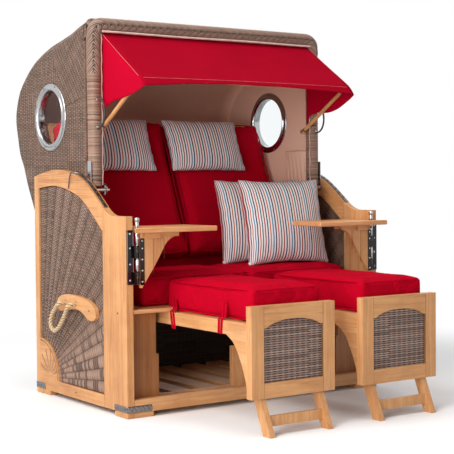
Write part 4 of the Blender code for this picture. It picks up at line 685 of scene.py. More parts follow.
# Canopy cloth: its top painted darker than the cushions' red as painted shade, its side panels lighter as painted
# light.
canopyRedPaintedLight = makeCloth("canopy_cloth", (0.37, 0.0007, 0.015, 1), (0.30, 0.0006, 0.011, 1), side=(0.48, 0.0016, 0.021, 1))[0]
seamRed = makePlain("seam_thread", (0.78, 0.16, 0.17, 1), 0.8)
stripedCloth, chrome, glass, ropeFibre = makeStripes(), makeChrome(), makeGlass(), makeRope()
darkSteel = makeChrome("worn_steel", (0.20, 0.19, 0.185, 1), 0.3)
darkPlate = makeChrome("dark_plate", (0.055, 0.050, 0.050, 1), 0.16)
stamped = makeChrome("stamped_plate", (0.27, 0.26, 0.26, 1), 0.12)
plug = makePlain("dark_plug", (0.10, 0.030, 0.012, 1), 0.6)
lining = makeLining()
pinkPiping = makePlain("pink_piping", (0.80, 0.53, 0.46, 1), 0.6)
paleThread = makePlain("pale_thread", (0.80, 0.55, 0.50, 1), 0.8)
blackLoop = makePlain("black_loop", (0.060, 0.050, 0.048, 1), 0.25, 60.0, 0.0002)

looks = {"side_frame": woodFrame, "front_post": woodZ, "handle_plate": woodY, "front_rail": woodX,
         "rear_panel": shadedWeaveRear, "floor_slats": woodY, "front_boards": woodBoards, "seat_deck": woodX,
         "backrest_board": woodX, "footrest_panel": woodPanel, "footrest_wicker": darkWeaveFront,
         "footrest_tray": woodY, "footrest_stand": woodZ, "table_top": woodTable, "table_bracket": woodZ,
         "awning_frame": woodX, "porthole_glass": glass, "porthole": chrome, "pivot_bolt": chrome, "ratchet": darkSteel,
         "table_hinge": darkPlate, "lock_holder": chrome, "hood_lock": chrome, "hood_handle": blackLoop,
         "side_wicker": hoodWeave, "hood_rim": hoodWeave}


def dressNodes():
    for name, obj in nodes.items():
        keys = [k for k in looks if name == k or name.startswith(k + "_")]
        if not keys:
            continue
        look = looks[max(keys, key=len)]
        if not obj.material_slots:
            obj.data.materials.append(look)
        for slot in obj.material_slots:
            slot.material = look


dressNodes()
print("nodes dressed")


# Carry ropes.
rope = {"radius": 0.0092, "plate": 0.34, "plateZ": 0.405, "start": 0.6363, "plateThick": 0.016, "twist": 0.056,
        "route": ((0.27, 0.03, -1.0), (0.27, 0.031, 1.2), (0.272, 0.032, 2.6), (0.31, 0.01, 3.3), (0.42, -0.05, 2.4),
                  (0.52, -0.12, 2.0), (0.57, -0.21, 2.0), (0.55, -0.29, 2.0), (0.47, -0.325, 2.0), (0.36, -0.28, 2.0),
                  (0.24, -0.18, 2.2), (0.12, -0.07, 2.8), (0.035, 0.01, 3.3), (0.0, 0.032, 2.6), (0.0, 0.031, 1.2),
                  (0.0, 0.03, -1.0))}


def carryRope(side, tag, v):
    # Three strands laid round each other: r (0.80 + 0.20 |cos 1.5 (a - 2 pi s / twist)|) along the route.
    outside = v["start"] + v["plateThick"]
    route = [(side * (outside + out * v["radius"] if out > 0 else v["start"] + v["radius"] / 2),
              u * v["plate"], v["plateZ"] + w * v["plate"]) for u, w, out in v["route"]]
    path = smoothLine(route, 420)
    steps = np.linalg.norm(np.diff(path, axis=0), axis=1)
    run = np.concatenate([[0], np.cumsum(steps)])
    around = 24
    angle = np.linspace(0, 2 * np.pi, around, endpoint=False)
    lobe = np.abs(np.cos(1.5 * (angle[None, :] - 2 * np.pi * run[:, None] / v["twist"])))
    ahead, across, over = frames(path)
    radius = v["radius"] * (0.70 + 0.30 * lobe ** 0.6)
    ring = (path[:, None] + across[:, None] * (np.cos(angle)[None, :, None] * radius[..., None])
            + over[:, None] * (np.sin(angle)[None, :, None] * radius[..., None]))
    ring = np.concatenate([np.repeat(path[:1, None], around, 1), ring, np.repeat(path[-1:, None], around, 1)])
    shade = np.vstack([lobe[:1], lobe, lobe[-1:]])
    runs = np.concatenate([run[:1], run, run[-1:]])
    uv = np.stack(np.broadcast_arrays(angle[None, :] * v["radius"], runs[:, None]), axis=-1).reshape(-1, 2)
    obj = putMesh("carry_rope_twisted_" + tag, ring, gridFaces(len(ring), around, False, True), "base", ropeFibre, uv,
                  {"shade": np.clip(1.15 - shade * 1.9, 0, 1)})
    weld(obj)
    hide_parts("carry_rope_" + tag)
    path = path + (0, shiftY, 0)
    tuple(path[0])
    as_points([tuple(p) for p in path[::12]] + [tuple(path[-1])])
    return float(run[-1])


for side, tag in sides:
    print("carry rope", tag, round(carryRope(side, tag, rope), 3), "m")


# Sunburst infill of the sides.


def sunburst(side, tag, v):
    # Polar height field round the fan block's corner: reach r, angle a. Height = rib (1 - cos 2 pi a n) / 2
    # times a taper, plus relief: each strand stands up over one rib and dips under the next, ring by ring.
    cad = np.empty(len(nodes["side_wicker_" + tag].data.vertices) * 3, np.float32)
    nodes["side_wicker_" + tag].data.vertices.foreach_get("co", cad)
    cad = cad.reshape(-1, 3)[:, 1:] - (base["stileFront"] + shiftY, base["sill"])
    turn, reach = np.arctan2(cad[:, 1], -cad[:, 0]), np.hypot(cad[:, 0], cad[:, 1])
    far = reach > base["fan"] + 0.02
    order = np.argsort(turn[far])
    turn, reach = turn[far][order], reach[far][order]
    cols = v["ribs"] * v["perRib"] + 1
    start = math.asin(0.0006 / base["fan"])
    angles = np.linspace(start, np.pi / 2 - start, cols)
    edge = np.array([reach[np.abs(turn - a) < 0.013].max() for a in angles]) - v["rim"]
    near = base["fan"] + v["rim"]
    radii = np.arange(near, edge.max() + v["strand"], v["strand"] / v["perStrand"])
    r = np.minimum(radii[:, None], edge[None, :])
    a = np.broadcast_to(angles[None, :], r.shape)
    place = (a - start) / (np.pi / 2 - 2 * start) * v["ribs"]
    rib, inRib = np.minimum(np.floor(place), v["ribs"] - 1), place - np.floor(place)
    ring = np.floor((r - near) / v["strand"])
    inRing = (r - near) / v["strand"] - ring
    hump, cross = np.sin(np.pi * inRib), np.sin(np.pi * inRing)
    sign = np.where((rib + ring) % 2 == 0, 1.0, -1.0)
    relief = cross * (0.62 + 0.38 * sign * np.sin(np.pi * np.clip(inRib, 0, 1)))
    taper = 0.45 + 0.55 * np.clip((r - near) / 0.10, 0, 1)
    lift = v["rib"] * taper * hump ** 0.7 + v["relief"] * relief
    border = np.clip((edge[None, :] - r) / 0.006, 0, 1) * np.clip((r - near) / 0.004, 0, 1)
    lift = lift * border - 0.0015 * (1 - border)
    y = np.minimum(base["stileFront"] - r * np.cos(a), base["stileFront"] - 0.0006)
    z = np.maximum(base["sill"] + r * np.sin(a), base["sill"] + 0.0006)
    outer = np.stack([side * (v["face"] + lift), y, z], axis=-1)
    random = np.random.default_rng(5)
    tone = random.random((int(ring.max()) + 1, v["ribs"]))[ring.astype(int), rib.astype(int)]
    # High ribs carry dots of painted shade; low ones carry dark cross bands two or three strands wide.
    dots = np.clip((a - 0.30) / 0.35, 0, 1) * border
    bands = random.random((int(ring.max()) // 2 + 2, v["ribs"]))[(ring // 2).astype(int), rib.astype(int)]
    bands = np.where(bands < v["bands"], 0.55, 0.0) * (1 - dots) * (0.35 + 0.65 * hump)
    tone = tone * (0.75 + 0.25 * dots) + 0.45 * (1 - dots) * (bands == 0)
    # The shade mark is painted shade between strands, between ribs and along the rim, plus the dark cross bands of the
    # strands' own colour.
    shade = np.clip(1.25 - 1.9 * cross, 0, 1) * (0.55 + 0.30 * dots) + np.clip(0.8 - 3.4 * hump, 0, 1) * 0.75 + bands
    shade = np.clip(shade + (1 - border) * 0.9, 0, 1)
    # Painted highlight on the crowns where rib and strand both rise, stronger on the ribs listed in pinkRibs and on the
    # low ribs.
    crownHighlight = np.clip(hump * 1.6 - 0.7, 0, 1) * cross * (0.6 + 1.0 * np.isin(rib, v["pinkRibs"]) + 0.6 * (1 - dots))
    # Metre coordinates: the number of stakes per rib grows with the reach.
    stakesPerRib = np.maximum(1, np.round(ring * v["strand"] * (np.pi / 2 / v["ribs"]) / v["stake"] + 1.2))
    polar = np.stack([place * stakesPerRib * v["stake"], r - near], axis=-1).reshape(-1, 2)
    faces = gridFaces(*r.shape)
    flat = r.ravel()
    keep = (flat[faces].max(1) - flat[faces].min(1)) > 0.0002
    inner = outer.copy()
    inner[..., 0] = side * v["back"]
    count = flat.size
    faces = faces[keep]
    allFaces = closeShell(faces, count)
    marks = {"shade": shade, "tone": np.clip(tone, 0, 1), "crownHighlight": np.clip(crownHighlight, 0, 1), "dots": dots}
    obj = putMesh("side_infill_" + tag, np.concatenate([outer.reshape(-1, 3), inner.reshape(-1, 3)]), allFaces, "base",
                  infillWeave, np.tile(polar, (2, 1)), {key: np.tile(m.ravel(), 2) for key, m in marks.items()})
    weld(obj, 0.00005)
    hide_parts("side_wicker_" + tag)


def closeShell(faces, count):
    # Front faces, the same faces turned round on the second layer, and quads along every open edge.
    edges = np.concatenate([faces[:, [k, (k + 1) % 4]] for k in range(4)])
    edges = edges[edges[:, 0] != edges[:, 1]]
    key = edges[:, 0].astype(np.int64) * count + edges[:, 1]
    back = edges[:, 1].astype(np.int64) * count + edges[:, 0]
    bare = edges[~np.isin(key, back)]
    walls = np.stack([bare[:, 1], bare[:, 0], bare[:, 0] + count, bare[:, 1] + count], axis=1)
    return np.vstack([faces, faces[:, ::-1] + count, walls])


for side, tag in sides:
    sunburst(side, tag, infill)
print("side infill woven")


# Hood shell.
hood = {"lip": -0.0230, "half": 0.600, "wall": 0.026, "round": 0.030, "reach": 0.712, "low": 0.46, "rise": 1.134, "postY": -0.030,
        "porthole": (0.312, 1.199), "hole": 0.130, "rows": 150, "sideCols": 44, "roofCols": 60,
        "line": ((0.0100, 0.9965), (0.0455, 0.9890), (0.070, 0.985), (0.130, 0.976), (0.221, 0.959), (0.350, 0.942), (0.489, 0.925),
                 (0.631, 0.898), (0.732, 0.871), (0.837, 0.829), (0.930, 0.776), (0.985, 0.709), (1.0, 0.650),
                 (0.978, 0.585), (0.944, 0.511), (0.892, 0.459), (0.837, 0.385), (0.757, 0.300), (0.680, 0.212),
                 (0.610, 0.130), (0.555, 0.050), (0.515, 0.0)),
        "front": ((0.0024, 1.5515), (0.0022, 1.30), (0.002, 1.00), (0.002, 0.89), (0.026, 0.64), (0.041, 0.528),
                  (0.063, 0.426), (0.100, 0.385), (0.160, 0.3700), (0.212, 0.375), (0.262, 0.405), (0.300, 0.440))}


def hoodLayer(v, depth, corner):
    # Each row runs up one side wall from the front path to the outline, round the corner, across the roof and
    # down the other side; `depth` moves it in from the outer face.
    line = smoothLine([(v["postY"] + a * v["reach"], v["low"] + b * v["rise"]) for a, b in v["line"]], v["rows"])
    way = np.gradient(line, axis=0)
    way /= np.linalg.norm(way, axis=1)[:, None]
    out = np.stack([-way[:, 1], way[:, 0]], axis=1)
    face = line - out * depth
    inner = face - out * corner
    bend = np.maximum(inner, (v["lip"], -1))
    inner[:, 0] = np.maximum(inner[:, 0], 0.0022)
    face[:, 0] = np.maximum(face[:, 0], v["lip"])
    front = smoothLine(v["front"], v["rows"])
    share = np.linspace(0, 1, v["sideCols"])[None, :, None]
    wall = front[:, None] * (1 - share) + inner[:, None] * share
    half = v["half"] - depth
    x = np.full(wall.shape[:2] + (1,), half)
    wall = np.concatenate([x, wall], axis=2)
    a = np.linspace(0, np.pi / 2, 8)[1:-1]
    arc = np.concatenate([np.broadcast_to((half - corner + corner * np.cos(a))[None, :, None], (len(line), len(a), 1)),
                          bend[:, None] + out[:, None] * (corner * np.sin(a))[None, :, None]], axis=2)
    arc[..., 1] = np.maximum(arc[..., 1], v["lip"])
    xs = np.linspace(half - corner, -(half - corner), v["roofCols"])
    roof = np.concatenate([np.broadcast_to(xs[None, :, None], (len(line), len(xs), 1)),
                           np.broadcast_to(face[:, None], (len(line), len(xs), 2))], axis=2)
    left = wall[:, ::-1] * (-1, 1, 1)
    leftArc = arc[:, ::-1] * (-1, 1, 1)
    rows = np.concatenate([wall, arc, roof, leftArc, left], axis=1)
    run = np.concatenate([[0], np.cumsum(np.linalg.norm(np.diff(line, axis=0), axis=1))])
    return rows, run


def hoodShell(v):
    outer, run = hoodLayer(v, 0.0, v["round"])
    inner, _ = hoodLayer(v, v["wall"], 0.012)
    rows, cols = outer.shape[:2]
    count = rows * cols
    faces = gridFaces(rows, cols)
    centre = outer.reshape(-1, 3)[faces].mean(1)
    y, z = v["porthole"]
    reach = np.hypot(centre[:, 1] - y, centre[:, 2] - z)
    onSide = np.abs(centre[:, 0]) > v["half"] - 0.002
    faces = faces[~((reach < v["hole"]) & onSide)]
    # Metre coordinates: (y, z) on the side walls, (distance across, run along the line) from the corner on.
    flat = outer.reshape(-1, 3)
    across = np.concatenate([[0], np.cumsum(np.linalg.norm(np.diff(outer[rows // 2], axis=0), axis=1))])
    uvRoof = np.stack(np.broadcast_arrays(across[None, :], run[:, None]), axis=-1).reshape(-1, 2)
    uvSide = flat[:, 1:3]
    column = faces[:, 0] % cols
    side = (column < v["sideCols"] - 1) | (column >= cols - v["sideCols"])
    allFaces = closeShell(faces, count)
    uv = np.where(side[:, None, None], uvSide[faces], uvRoof[faces])
    turned = faces[:, ::-1]
    uvBack = np.where(side[:, None, None], uvSide[turned], uvRoof[turned])
    walls = allFaces[2 * len(faces):]
    uvWalls = uvRoof[walls % count] + (0.006, 0.0036)
    uvs = np.concatenate([uv, uvBack, uvWalls]).reshape(-1, 2)
    obj = putMesh("hood_shell", np.concatenate([flat, inner.reshape(-1, 3)]), allFaces, "hood",
                  [hoodWeave, lining], uvs)
    which = np.zeros(len(allFaces), np.int32)
    which[len(faces):2 * len(faces)] = 1
    if len(obj.data.polygons) == len(which):
        obj.data.polygons.foreach_set("material_index", which)
    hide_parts("hood_side_left", "hood_side_right", "hood_back")
    return obj


hoodShell(hood)
print("hood shell woven")


# Small filled corners between the side walls and the rim.
hoodCorner = {"outline": ((-0.020, 1.518), (0.004, 1.498), (0.004, 1.566), (-0.020, 1.571)), "deep": 0.0035}
for side, tag in sides:
    ends = sorted((side * (hood["half"] - hoodCorner["deep"]), side * (hood["half"] - 0.0006)))
    cornerPoints, cornerFaces = roundBar(hoodCorner["outline"], ends[0], ends[1], "x", 0.0006)
    cornerPoints = cornerPoints.reshape(-1, 3)
    patch = putMesh("hood_corner_" + tag, cornerPoints, cornerFaces, "hood", hoodWeave, cornerPoints[:, 1:3])
    weld(patch, 0.00001)

overlay = {"proud": 0.0028, "low": ((0.004, 1.2680), (0.085, 1.252), (0.172, 1.232)),
           "rear": ((0.172, 1.232), (0.196, 1.300), (0.235, 1.362), (0.262, 1.415), (0.292, 1.470)),
           "top": ((0.004, 1.5480), (0.0626, 1.5340), (0.127, 1.5150), (0.219, 1.4940), (0.292, 1.4700)), "cells": 40}


def overlayBand(side, tag, v):
    # Patch between four edges: rows blend the lower edge into the upper one, with the rear edge's own curve kept;
    # its rim is drawn down to the hood's face.
    n = v["cells"]
    low, top, rear = smoothLine(v["low"], n), smoothLine(v["top"], n), smoothLine(v["rear"], n)
    a, b = np.linspace(0, 1, n)[None, :, None], np.linspace(0, 1, n)[:, None, None]
    flat = low[None] * (1 - b) + top[None] * b
    flat = flat + a * (rear[:, None] - (rear[0] * (1 - b) + rear[-1] * b))
    edge = np.minimum(np.minimum(a, 1 - a), np.minimum(b, 1 - b))[..., 0] * n
    lift = v["proud"] * np.clip(edge, 0, 1) ** 0.5 - 0.0004
    outer = np.stack(np.broadcast_arrays(side * (hood["half"] + lift), flat[..., 0], flat[..., 1]), axis=-1)
    obj = putMesh("hood_overlay_" + tag, outer, gridFaces(n, n) if side > 0 else gridFaces(n, n)[:, ::-1], "hood",
                  bandWeave, flat.reshape(-1, 2))
    shell = obj.modifiers.new("band thickness", "SOLIDIFY")
    shell.thickness, shell.offset = 0.0008, -1.0


for side, tag in sides:
    overlayBand(side, tag, overlay)


# Braid and wound posts.
rim = {"x": 0.571, "y": -0.030, "low": 0.90, "braid": 1.362, "top": 1.564, "corner": 0.040, "post": 0.0285,
       "bow": 0.0302, "band": 0.0056, "pitch": 0.0340, "cords": 3, "slant": 0.046, "turned": -25.0, "step": 0.0016, "collar": (1.287, 0.0011)}


def rimPath(v):
    turn = np.linspace(0, np.pi / 2, 16)
    arc = np.stack([v["x"] - v["corner"] + v["corner"] * np.cos(turn), np.full(16, v["y"]),
                    v["top"] - v["corner"] + v["corner"] * np.sin(turn)], axis=1)
    right = np.vstack([[(v["x"], v["y"], v["low"])], arc])
    path = np.vstack([right, (right * (-1, 1, 1))[::-1]])
    steps = np.concatenate([[0], np.cumsum(np.linalg.norm(np.diff(path, axis=0), axis=1))])
    stops = np.arange(0, steps[-1], v["step"])
    return np.stack([np.interp(stops, steps, path[:, k]) for k in range(3)], axis=1), stops


def braidedRim(v):
    # Tube whose radius is a height field. Posts: |sin(pi s / band)| windings. Bow: with the crease at the front,
    # q = (s - slant fold) / pitch, half a pitch apart on its two sides; each V is `cords` narrow strands
    # |sin(pi cords q)| within a wider swell |sin(pi q)|.
    path, run = rimPath(v)
    around = 60
    angle = np.linspace(0, 2 * np.pi, around, endpoint=False)
    s = run[:, None]
    middle = run[-1] / 2
    mirrored = middle - np.abs(s - middle)
    braidStart = v["braid"] - v["low"]
    isBraid = np.clip((mirrored - braidStart) / 0.006 + 0.5, 0, 1)
    # Angle 0 looks to the front (-y); it is wrapped to -pi..pi.
    wrapped = (angle[None, :] + np.pi) % (2 * np.pi) - np.pi
    # The crease turns a little to the outer side on the legs.
    leg = np.clip((np.abs(s - middle) - (v["x"] - v["corner"])) / 0.06, 0, 1)
    fromCrease = (wrapped - math.radians(v["turned"]) * leg + np.pi) % (2 * np.pi) - np.pi
    fold = np.abs(fromCrease) / (np.pi / 2)
    q = (s - v["slant"] * fold) / v["pitch"] + np.where(fromCrease > 0, 0.5, 0.0)
    strandNo = np.floor(q * v["cords"]).astype(int) + np.where(fromCrease > 0, 401, 0)
    narrow = np.abs(np.sin(np.pi * q * v["cords"]))
    wide = np.abs(np.sin(np.pi * q)) ** 0.5
    # Holes along the crease, where one side's strands dive under the other's: sunk a little and painted dark as painted
    # shade.
    hole = np.clip(1 - np.abs(fromCrease) / 0.30, 0, 1) * np.clip(1 - np.abs(q - np.floor(q) - 0.5) / 0.28, 0, 1)
    crease = np.clip(np.abs(fromCrease) / 0.10, 0, 1)
    band = mirrored / v["band"] + 0.5 * np.sin(angle)[None, :] * 0.12
    wound = np.abs(np.sin(np.pi * band)) ** 0.5
    bandNo = np.floor(band)
    random = np.random.default_rng(11)
    tones = random.random(4000)
    tone = np.where(isBraid > 0.5, tones[(strandNo * 3) % 4000], tones[(bandNo.astype(int) * 7 + 13) % 4000])
    gapBand = (tones[(bandNo.astype(int) * 11 + 5) % 4000] > 0.93) & (isBraid < 0.5)
    radius = (v["post"] - 0.0018 * (1 - wound) - 0.0015 * gapBand) * (1 - isBraid)
    near = np.clip(1.35 - 1.1 * fold, 0.15, 1)
    radius = radius + v["collar"][1] * ((mirrored > v["collar"][0] - v["low"]) & (isBraid < 0.5))
    radius = radius + (v["bow"] - 0.0026 * (1 - narrow) - 0.0056 * (1 - wide) * near - 0.0020 * (1 - crease) - 0.003 * hole) * isBraid
    shade = np.where(isBraid > 0.5, np.clip(1.45 - 1.9 * narrow, 0, 1) + np.clip(1.15 - 1.5 * wide, 0, 1)
                     + 1.3 * hole, np.clip(1.1 - 1.6 * wound, 0, 1) + 0.5 * gapBand)
    # Directions: over points along -y at every place of the bow, across is square to it and to the path.
    ahead = np.gradient(path, axis=0)
    ahead /= np.linalg.norm(ahead, axis=1)[:, None]
    over = np.broadcast_to(np.array((0.0, -1.0, 0.0)), ahead.shape)
    across = np.cross(over, ahead)
    ring = (path[:, None] + over[:, None] * (np.cos(angle)[None, :, None] * radius[..., None])
            + across[:, None] * (np.sin(angle)[None, :, None] * radius[..., None]))
    ring = np.concatenate([np.repeat(path[:1, None], around, 1), ring, np.repeat(path[-1:, None], around, 1)])
    pad = lambda m: np.vstack([m[:1], m, m[-1:]])
    # Painted highlight on the crowns of the braid's strands and of the posts' windings.
    crownHighlight = np.where(isBraid > 0.5, np.clip(narrow * 1.8 - 0.8, 0, 1) * 1.5, np.clip(wound * 1.3 - 0.6, 0, 1) * 0.6)
    obj = putMesh("braided_rim", ring, gridFaces(len(ring), around, False, True), "hood", ribWeave, None,
                  {"shade": np.clip(pad(shade), 0, 1), "tone": pad(tone), "crownHighlight": pad(crownHighlight * np.ones_like(radius))})
    weld(obj)
    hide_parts("hood_rim")


braidedRim(rim)
print("rim braided")


# Canopy.
canopy = {"half": 0.536, "top": (-0.036, 1.5312), "front": (-0.3325, 1.3335), "hem": 0.040, "hang": math.radians(58.0), "pivotZ": 1.150,
          "lower": ((-0.036, 1.150), (-0.046, 1.196), (-0.062, 1.222), (-0.117, 1.243), (-0.202, 1.254), (-0.270, 1.264), (-0.3325, 1.278)),
          "slack": 0.030,
          "sag": 0.009, "across": 72, "rows": 44, "gusset": 16, "thick": 0.0024}


def canopyCloth(v):
    # One sheet: every row t runs up the left gusset, across the top and down the right one. The gusset's lower
    # edge follows `lower`, and the top sags by sin(pi t) between its two bars.
    t = np.linspace(0, 1, v["rows"])[:, None]
    u = np.linspace(-1, 1, v["across"])[None, :]
    ripple = 0.0012 * np.sin(u * 9 + t * 4) * np.sin(np.pi * t)
    yTop = v["top"][0] + (v["front"][0] - v["top"][0]) * t
    zTop = v["top"][1] + (v["front"][1] - v["top"][1]) * t
    edgeLift = 0.004 * np.abs(u) ** 6 * np.sin(np.pi * t)
    top = np.stack(np.broadcast_arrays(v["half"] * u, yTop + 0 * u,
                                       zTop - v["sag"] * np.sin(np.pi * t) * (1 - 0.5 * u ** 4) + ripple + edgeLift),
                   axis=-1)
    k = np.linspace(1, 0, v["gusset"] + 1)[None, :-1]
    lowZ = np.interp(yTop[:, 0], [p[0] for p in v["lower"]][::-1], [p[1] for p in v["lower"]][::-1])[:, None]
    sideX = v["half"] + 0.003 * np.sin(np.pi * k) * np.sin(np.pi * t) - 0.004 * np.sin(3 * np.pi * t) * k * (1 - k)
    zSide = top[:, :1, 2] + (lowZ - top[:, :1, 2]) * k
    ySide = np.broadcast_to(yTop, zSide.shape) + 0.010 * np.sin(np.pi * k) * np.sin(np.pi * t) * 0.3
    left = np.stack(np.broadcast_arrays(-sideX, ySide, zSide), axis=-1)
    # The right gusset hangs lower between its ends.
    slackZ = zSide - v["slack"] * np.sin(np.pi * t * 0.86) ** 1.5 * k
    right = np.stack(np.broadcast_arrays(sideX, ySide, slackZ), axis=-1)[:, ::-1]
    rows = np.concatenate([left, top, right], axis=1)
    cols = rows.shape[1]
    # The valance goes on from the slope over the front bar, turning down, and is longer at the corners.
    drop = np.linspace(0, 1, 10)[1:, None]
    slope = math.atan2(v["top"][1] - v["front"][1], v["top"][0] - v["front"][0])
    depth = v["hem"] * (0.62 + 0.75 * np.abs(u) ** 2.2 + 0.02 * np.sin(u * 14))
    turned = slope + (v["hang"] - slope) * drop ** 0.8
    stepY, stepZ = np.cumsum(np.cos(turned)) / len(drop), np.cumsum(np.sin(turned)) / len(drop)
    edge = top[-1][None]
    hem = np.stack(np.broadcast_arrays(edge[..., 0], edge[..., 1] - depth * stepY[:, None] + 0.001 * np.sin(u * 22) * drop,
                                       edge[..., 2] - depth * stepZ[:, None]), axis=-1)
    # Beside the valance the gussets go on, narrowing to its lower corners.
    ends = []
    for number, column in ((0, 0), (-1, -1)):
        side = hem[:, column][:, None]
        start = rows[-1, number, 2]
        low = start + (side[-1, 0, 2] - start) * drop
        share = k if number == 0 else k[:, ::-1]
        z = side[..., 2] + (low - side[..., 2]) * share
        ends.append(np.stack(np.broadcast_arrays(side[..., 0], side[..., 1], z), axis=-1))
    sheet = np.concatenate([rows, np.concatenate([ends[0], hem, ends[1]], axis=1)])
    points, faces = sheet.reshape(-1, 3), gridFaces(len(sheet), cols)
    # Side-panel mark: the cloth paints these panels lighter as painted light.
    panel = np.zeros((len(sheet), cols))
    panel[:, :v["gusset"]] = panel[:, cols - v["gusset"]:] = 1.0
    marks = {"panel": panel}
    obj = putMesh("canopy_cloth", points, faces, None, canopyRedPaintedLight, None, marks)
    weld(obj)
    p = points[faces]
    area = float(np.linalg.norm(np.cross(p[:, 2] - p[:, 0], p[:, 3] - p[:, 1]), axis=1).sum() / 2)
    shell = obj.modifiers.new("cloth thickness", "SOLIDIFY")
    shell.thickness, shell.offset = v["thick"], 0.0
    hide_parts("canopy")
    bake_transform(obj)
    seams = []
    for sign in (-1, 1):
        line = [(sign * (v["half"] + 0.0022), yTop[i, 0], top[i, 0, 2] + 0.0008) for i in range(v["rows"])]
        seams.append(("canopy_seam_%s" % ("left" if sign < 0 else "right"), line))
    hemLine = [(x, y - 0.0018, z + 0.0010) for x, y, z in hem[1][1:-1]]
    seams.append(("canopy_hem_stitch", hemLine))
    for name, line in seams:
        piece = tubeMesh(name, smoothLine(line, 70), 0.0010, None, seamRed, 6, flat=0.8)
        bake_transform(piece)
    return area


print("canopy sewn, area", round(canopyCloth(canopy), 3))


# Cushions.
def roundedBox(size, radius, crown, waist, cell, seed, wrinkle):
    # Box of even cells; each point is clamped to the box less its radius and pushed out by it, then the
    # flat faces rise by crown (1-u^2)(1-v^2) and the sides draw in by waist between the corners.
    half = np.array(size) / 2
    counts = np.maximum(2, np.round(np.array(size) / cell)).astype(int)
    parts = []
    for axis in range(3):
        a, b = (axis + 1) % 3, (axis + 2) % 3
        ua = np.sin(np.linspace(-1, 1, counts[a] + 1) * np.pi / 2 * 0.85) / math.sin(np.pi / 2 * 0.85)
        ub = np.sin(np.linspace(-1, 1, counts[b] + 1) * np.pi / 2 * 0.85) / math.sin(np.pi / 2 * 0.85)
        for sign in (-1, 1):
            p = np.zeros((len(ua), len(ub), 3))
            p[..., a], p[..., b], p[..., axis] = ua[:, None], ub[None, :], sign
            f = gridFaces(len(ua), len(ub))
            parts.append((p, f if sign < 0 else f[:, ::-1]))
    unit, faces = joinArrays(parts)
    p = unit * half
    core = np.clip(p, -(half - radius), half - radius)
    d = p - core
    length = np.linalg.norm(d, axis=1)
    push = np.where(length > 1e-9, radius / np.maximum(length, 1e-9), 0)
    p = core + d * push[:, None]
    u, w = p[:, 0] / half[0], p[:, 1] / half[1]
    p[:, 0] *= 1 - waist * (1 - w ** 2)
    p[:, 1] *= 1 - waist * (1 - u ** 2)
    rise = np.clip(1 - u ** 2, 0, 1) ** 0.8 * np.clip(1 - w ** 2, 0, 1) ** 0.8
    p[:, 2] += crown * rise * np.clip(p[:, 2] / half[2], -1, 1)
    random = np.random.default_rng(seed)
    for _ in range(7):
        way, shift = random.normal(size=3) * 16, random.random() * 6.28
        p[:, 2] += wrinkle * 0.4 * np.sin(p @ way + shift) * np.sign(p[:, 2]) * np.clip(np.abs(p[:, 2]) / half[2], 0, 1)
        p[:, 0] += wrinkle * 0.3 * np.sin(p @ (way * 1.4) + shift) * np.sign(p[:, 0]) * (np.abs(u) > 0.9)
    return p, faces


def inflate(obj, travel, share, voxel=0.007, pressure=4.0):
    # Voxel remesh, cloth pressure without gravity for 20 frames, each point's travel capped and a share kept.
    remesh = obj.modifiers.new("remesh", "REMESH")
    remesh.mode, remesh.voxel_size, remesh.use_smooth_shade = "VOXEL", voxel, True
    applyModifiers(obj)
    start = np.empty(len(obj.data.vertices) * 3, np.float32)
    obj.data.vertices.foreach_get("co", start)
    cloth = obj.modifiers.new("cloth", "CLOTH")
    settings = cloth.settings
    settings.use_pressure, settings.uniform_pressure_force = True, pressure
    settings.effector_weights.gravity = 0.0
    settings.quality = 4
    settings.tension_stiffness = settings.compression_stiffness = 12.0
    cloth.point_cache.frame_start, cloth.point_cache.frame_end = 1, 20
    scene = bpy.context.scene
    for number in range(1, 21):
        scene.frame_set(number)
    applyModifiers(obj)
    scene.frame_set(1)
    end = np.empty_like(start)
    obj.data.vertices.foreach_get("co", end)
    move = (end - start).reshape(-1, 3)
    length = np.linalg.norm(move, axis=1)[:, None]
    move *= share * np.minimum(1, travel / np.maximum(length, 1e-9))
    obj.data.vertices.foreach_set("co", (start.reshape(-1, 3) + move).ravel())
    obj.data.update()


def applyModifiers(obj):
    deps = bpy.context.evaluated_depsgraph_get()
    made = bpy.data.meshes.new_from_object(obj.evaluated_get(deps))
    old = obj.data
    obj.modifiers.clear()
    obj.data = made
    bpy.data.meshes.remove(old)


def placed(points, place, turn=None):
    points = np.asarray(points, float)
    if turn is not None:
        points = points @ np.array(turn.to_3x3()).T
    return points + place


lean = math.radians(22.0)
backBoard = {"foot": (0.185, 0.515), "thick": 0.10, "bottom": 0.045, "length": 0.655, "half": 0.545}


def onBack(x, up, out):
    y, z = backBoard["foot"]
    return np.array((x, y + up * math.sin(lean) - out * math.cos(lean), z + up * math.cos(lean) + out * math.sin(lean)))


backTurn = Matrix.Rotation(-lean, 4, "X") @ Matrix.Rotation(math.radians(90), 4, "X")
seat = {"half": 0.530, "front": -0.325, "rear": 0.055, "height": 0.122}
footrest = {"offset": 0.261, "half": 0.1634, "top": 0.530, "panelY": -0.960, "panelThick": 0.033, "tray": 0.405,
            "rear": -0.3330}


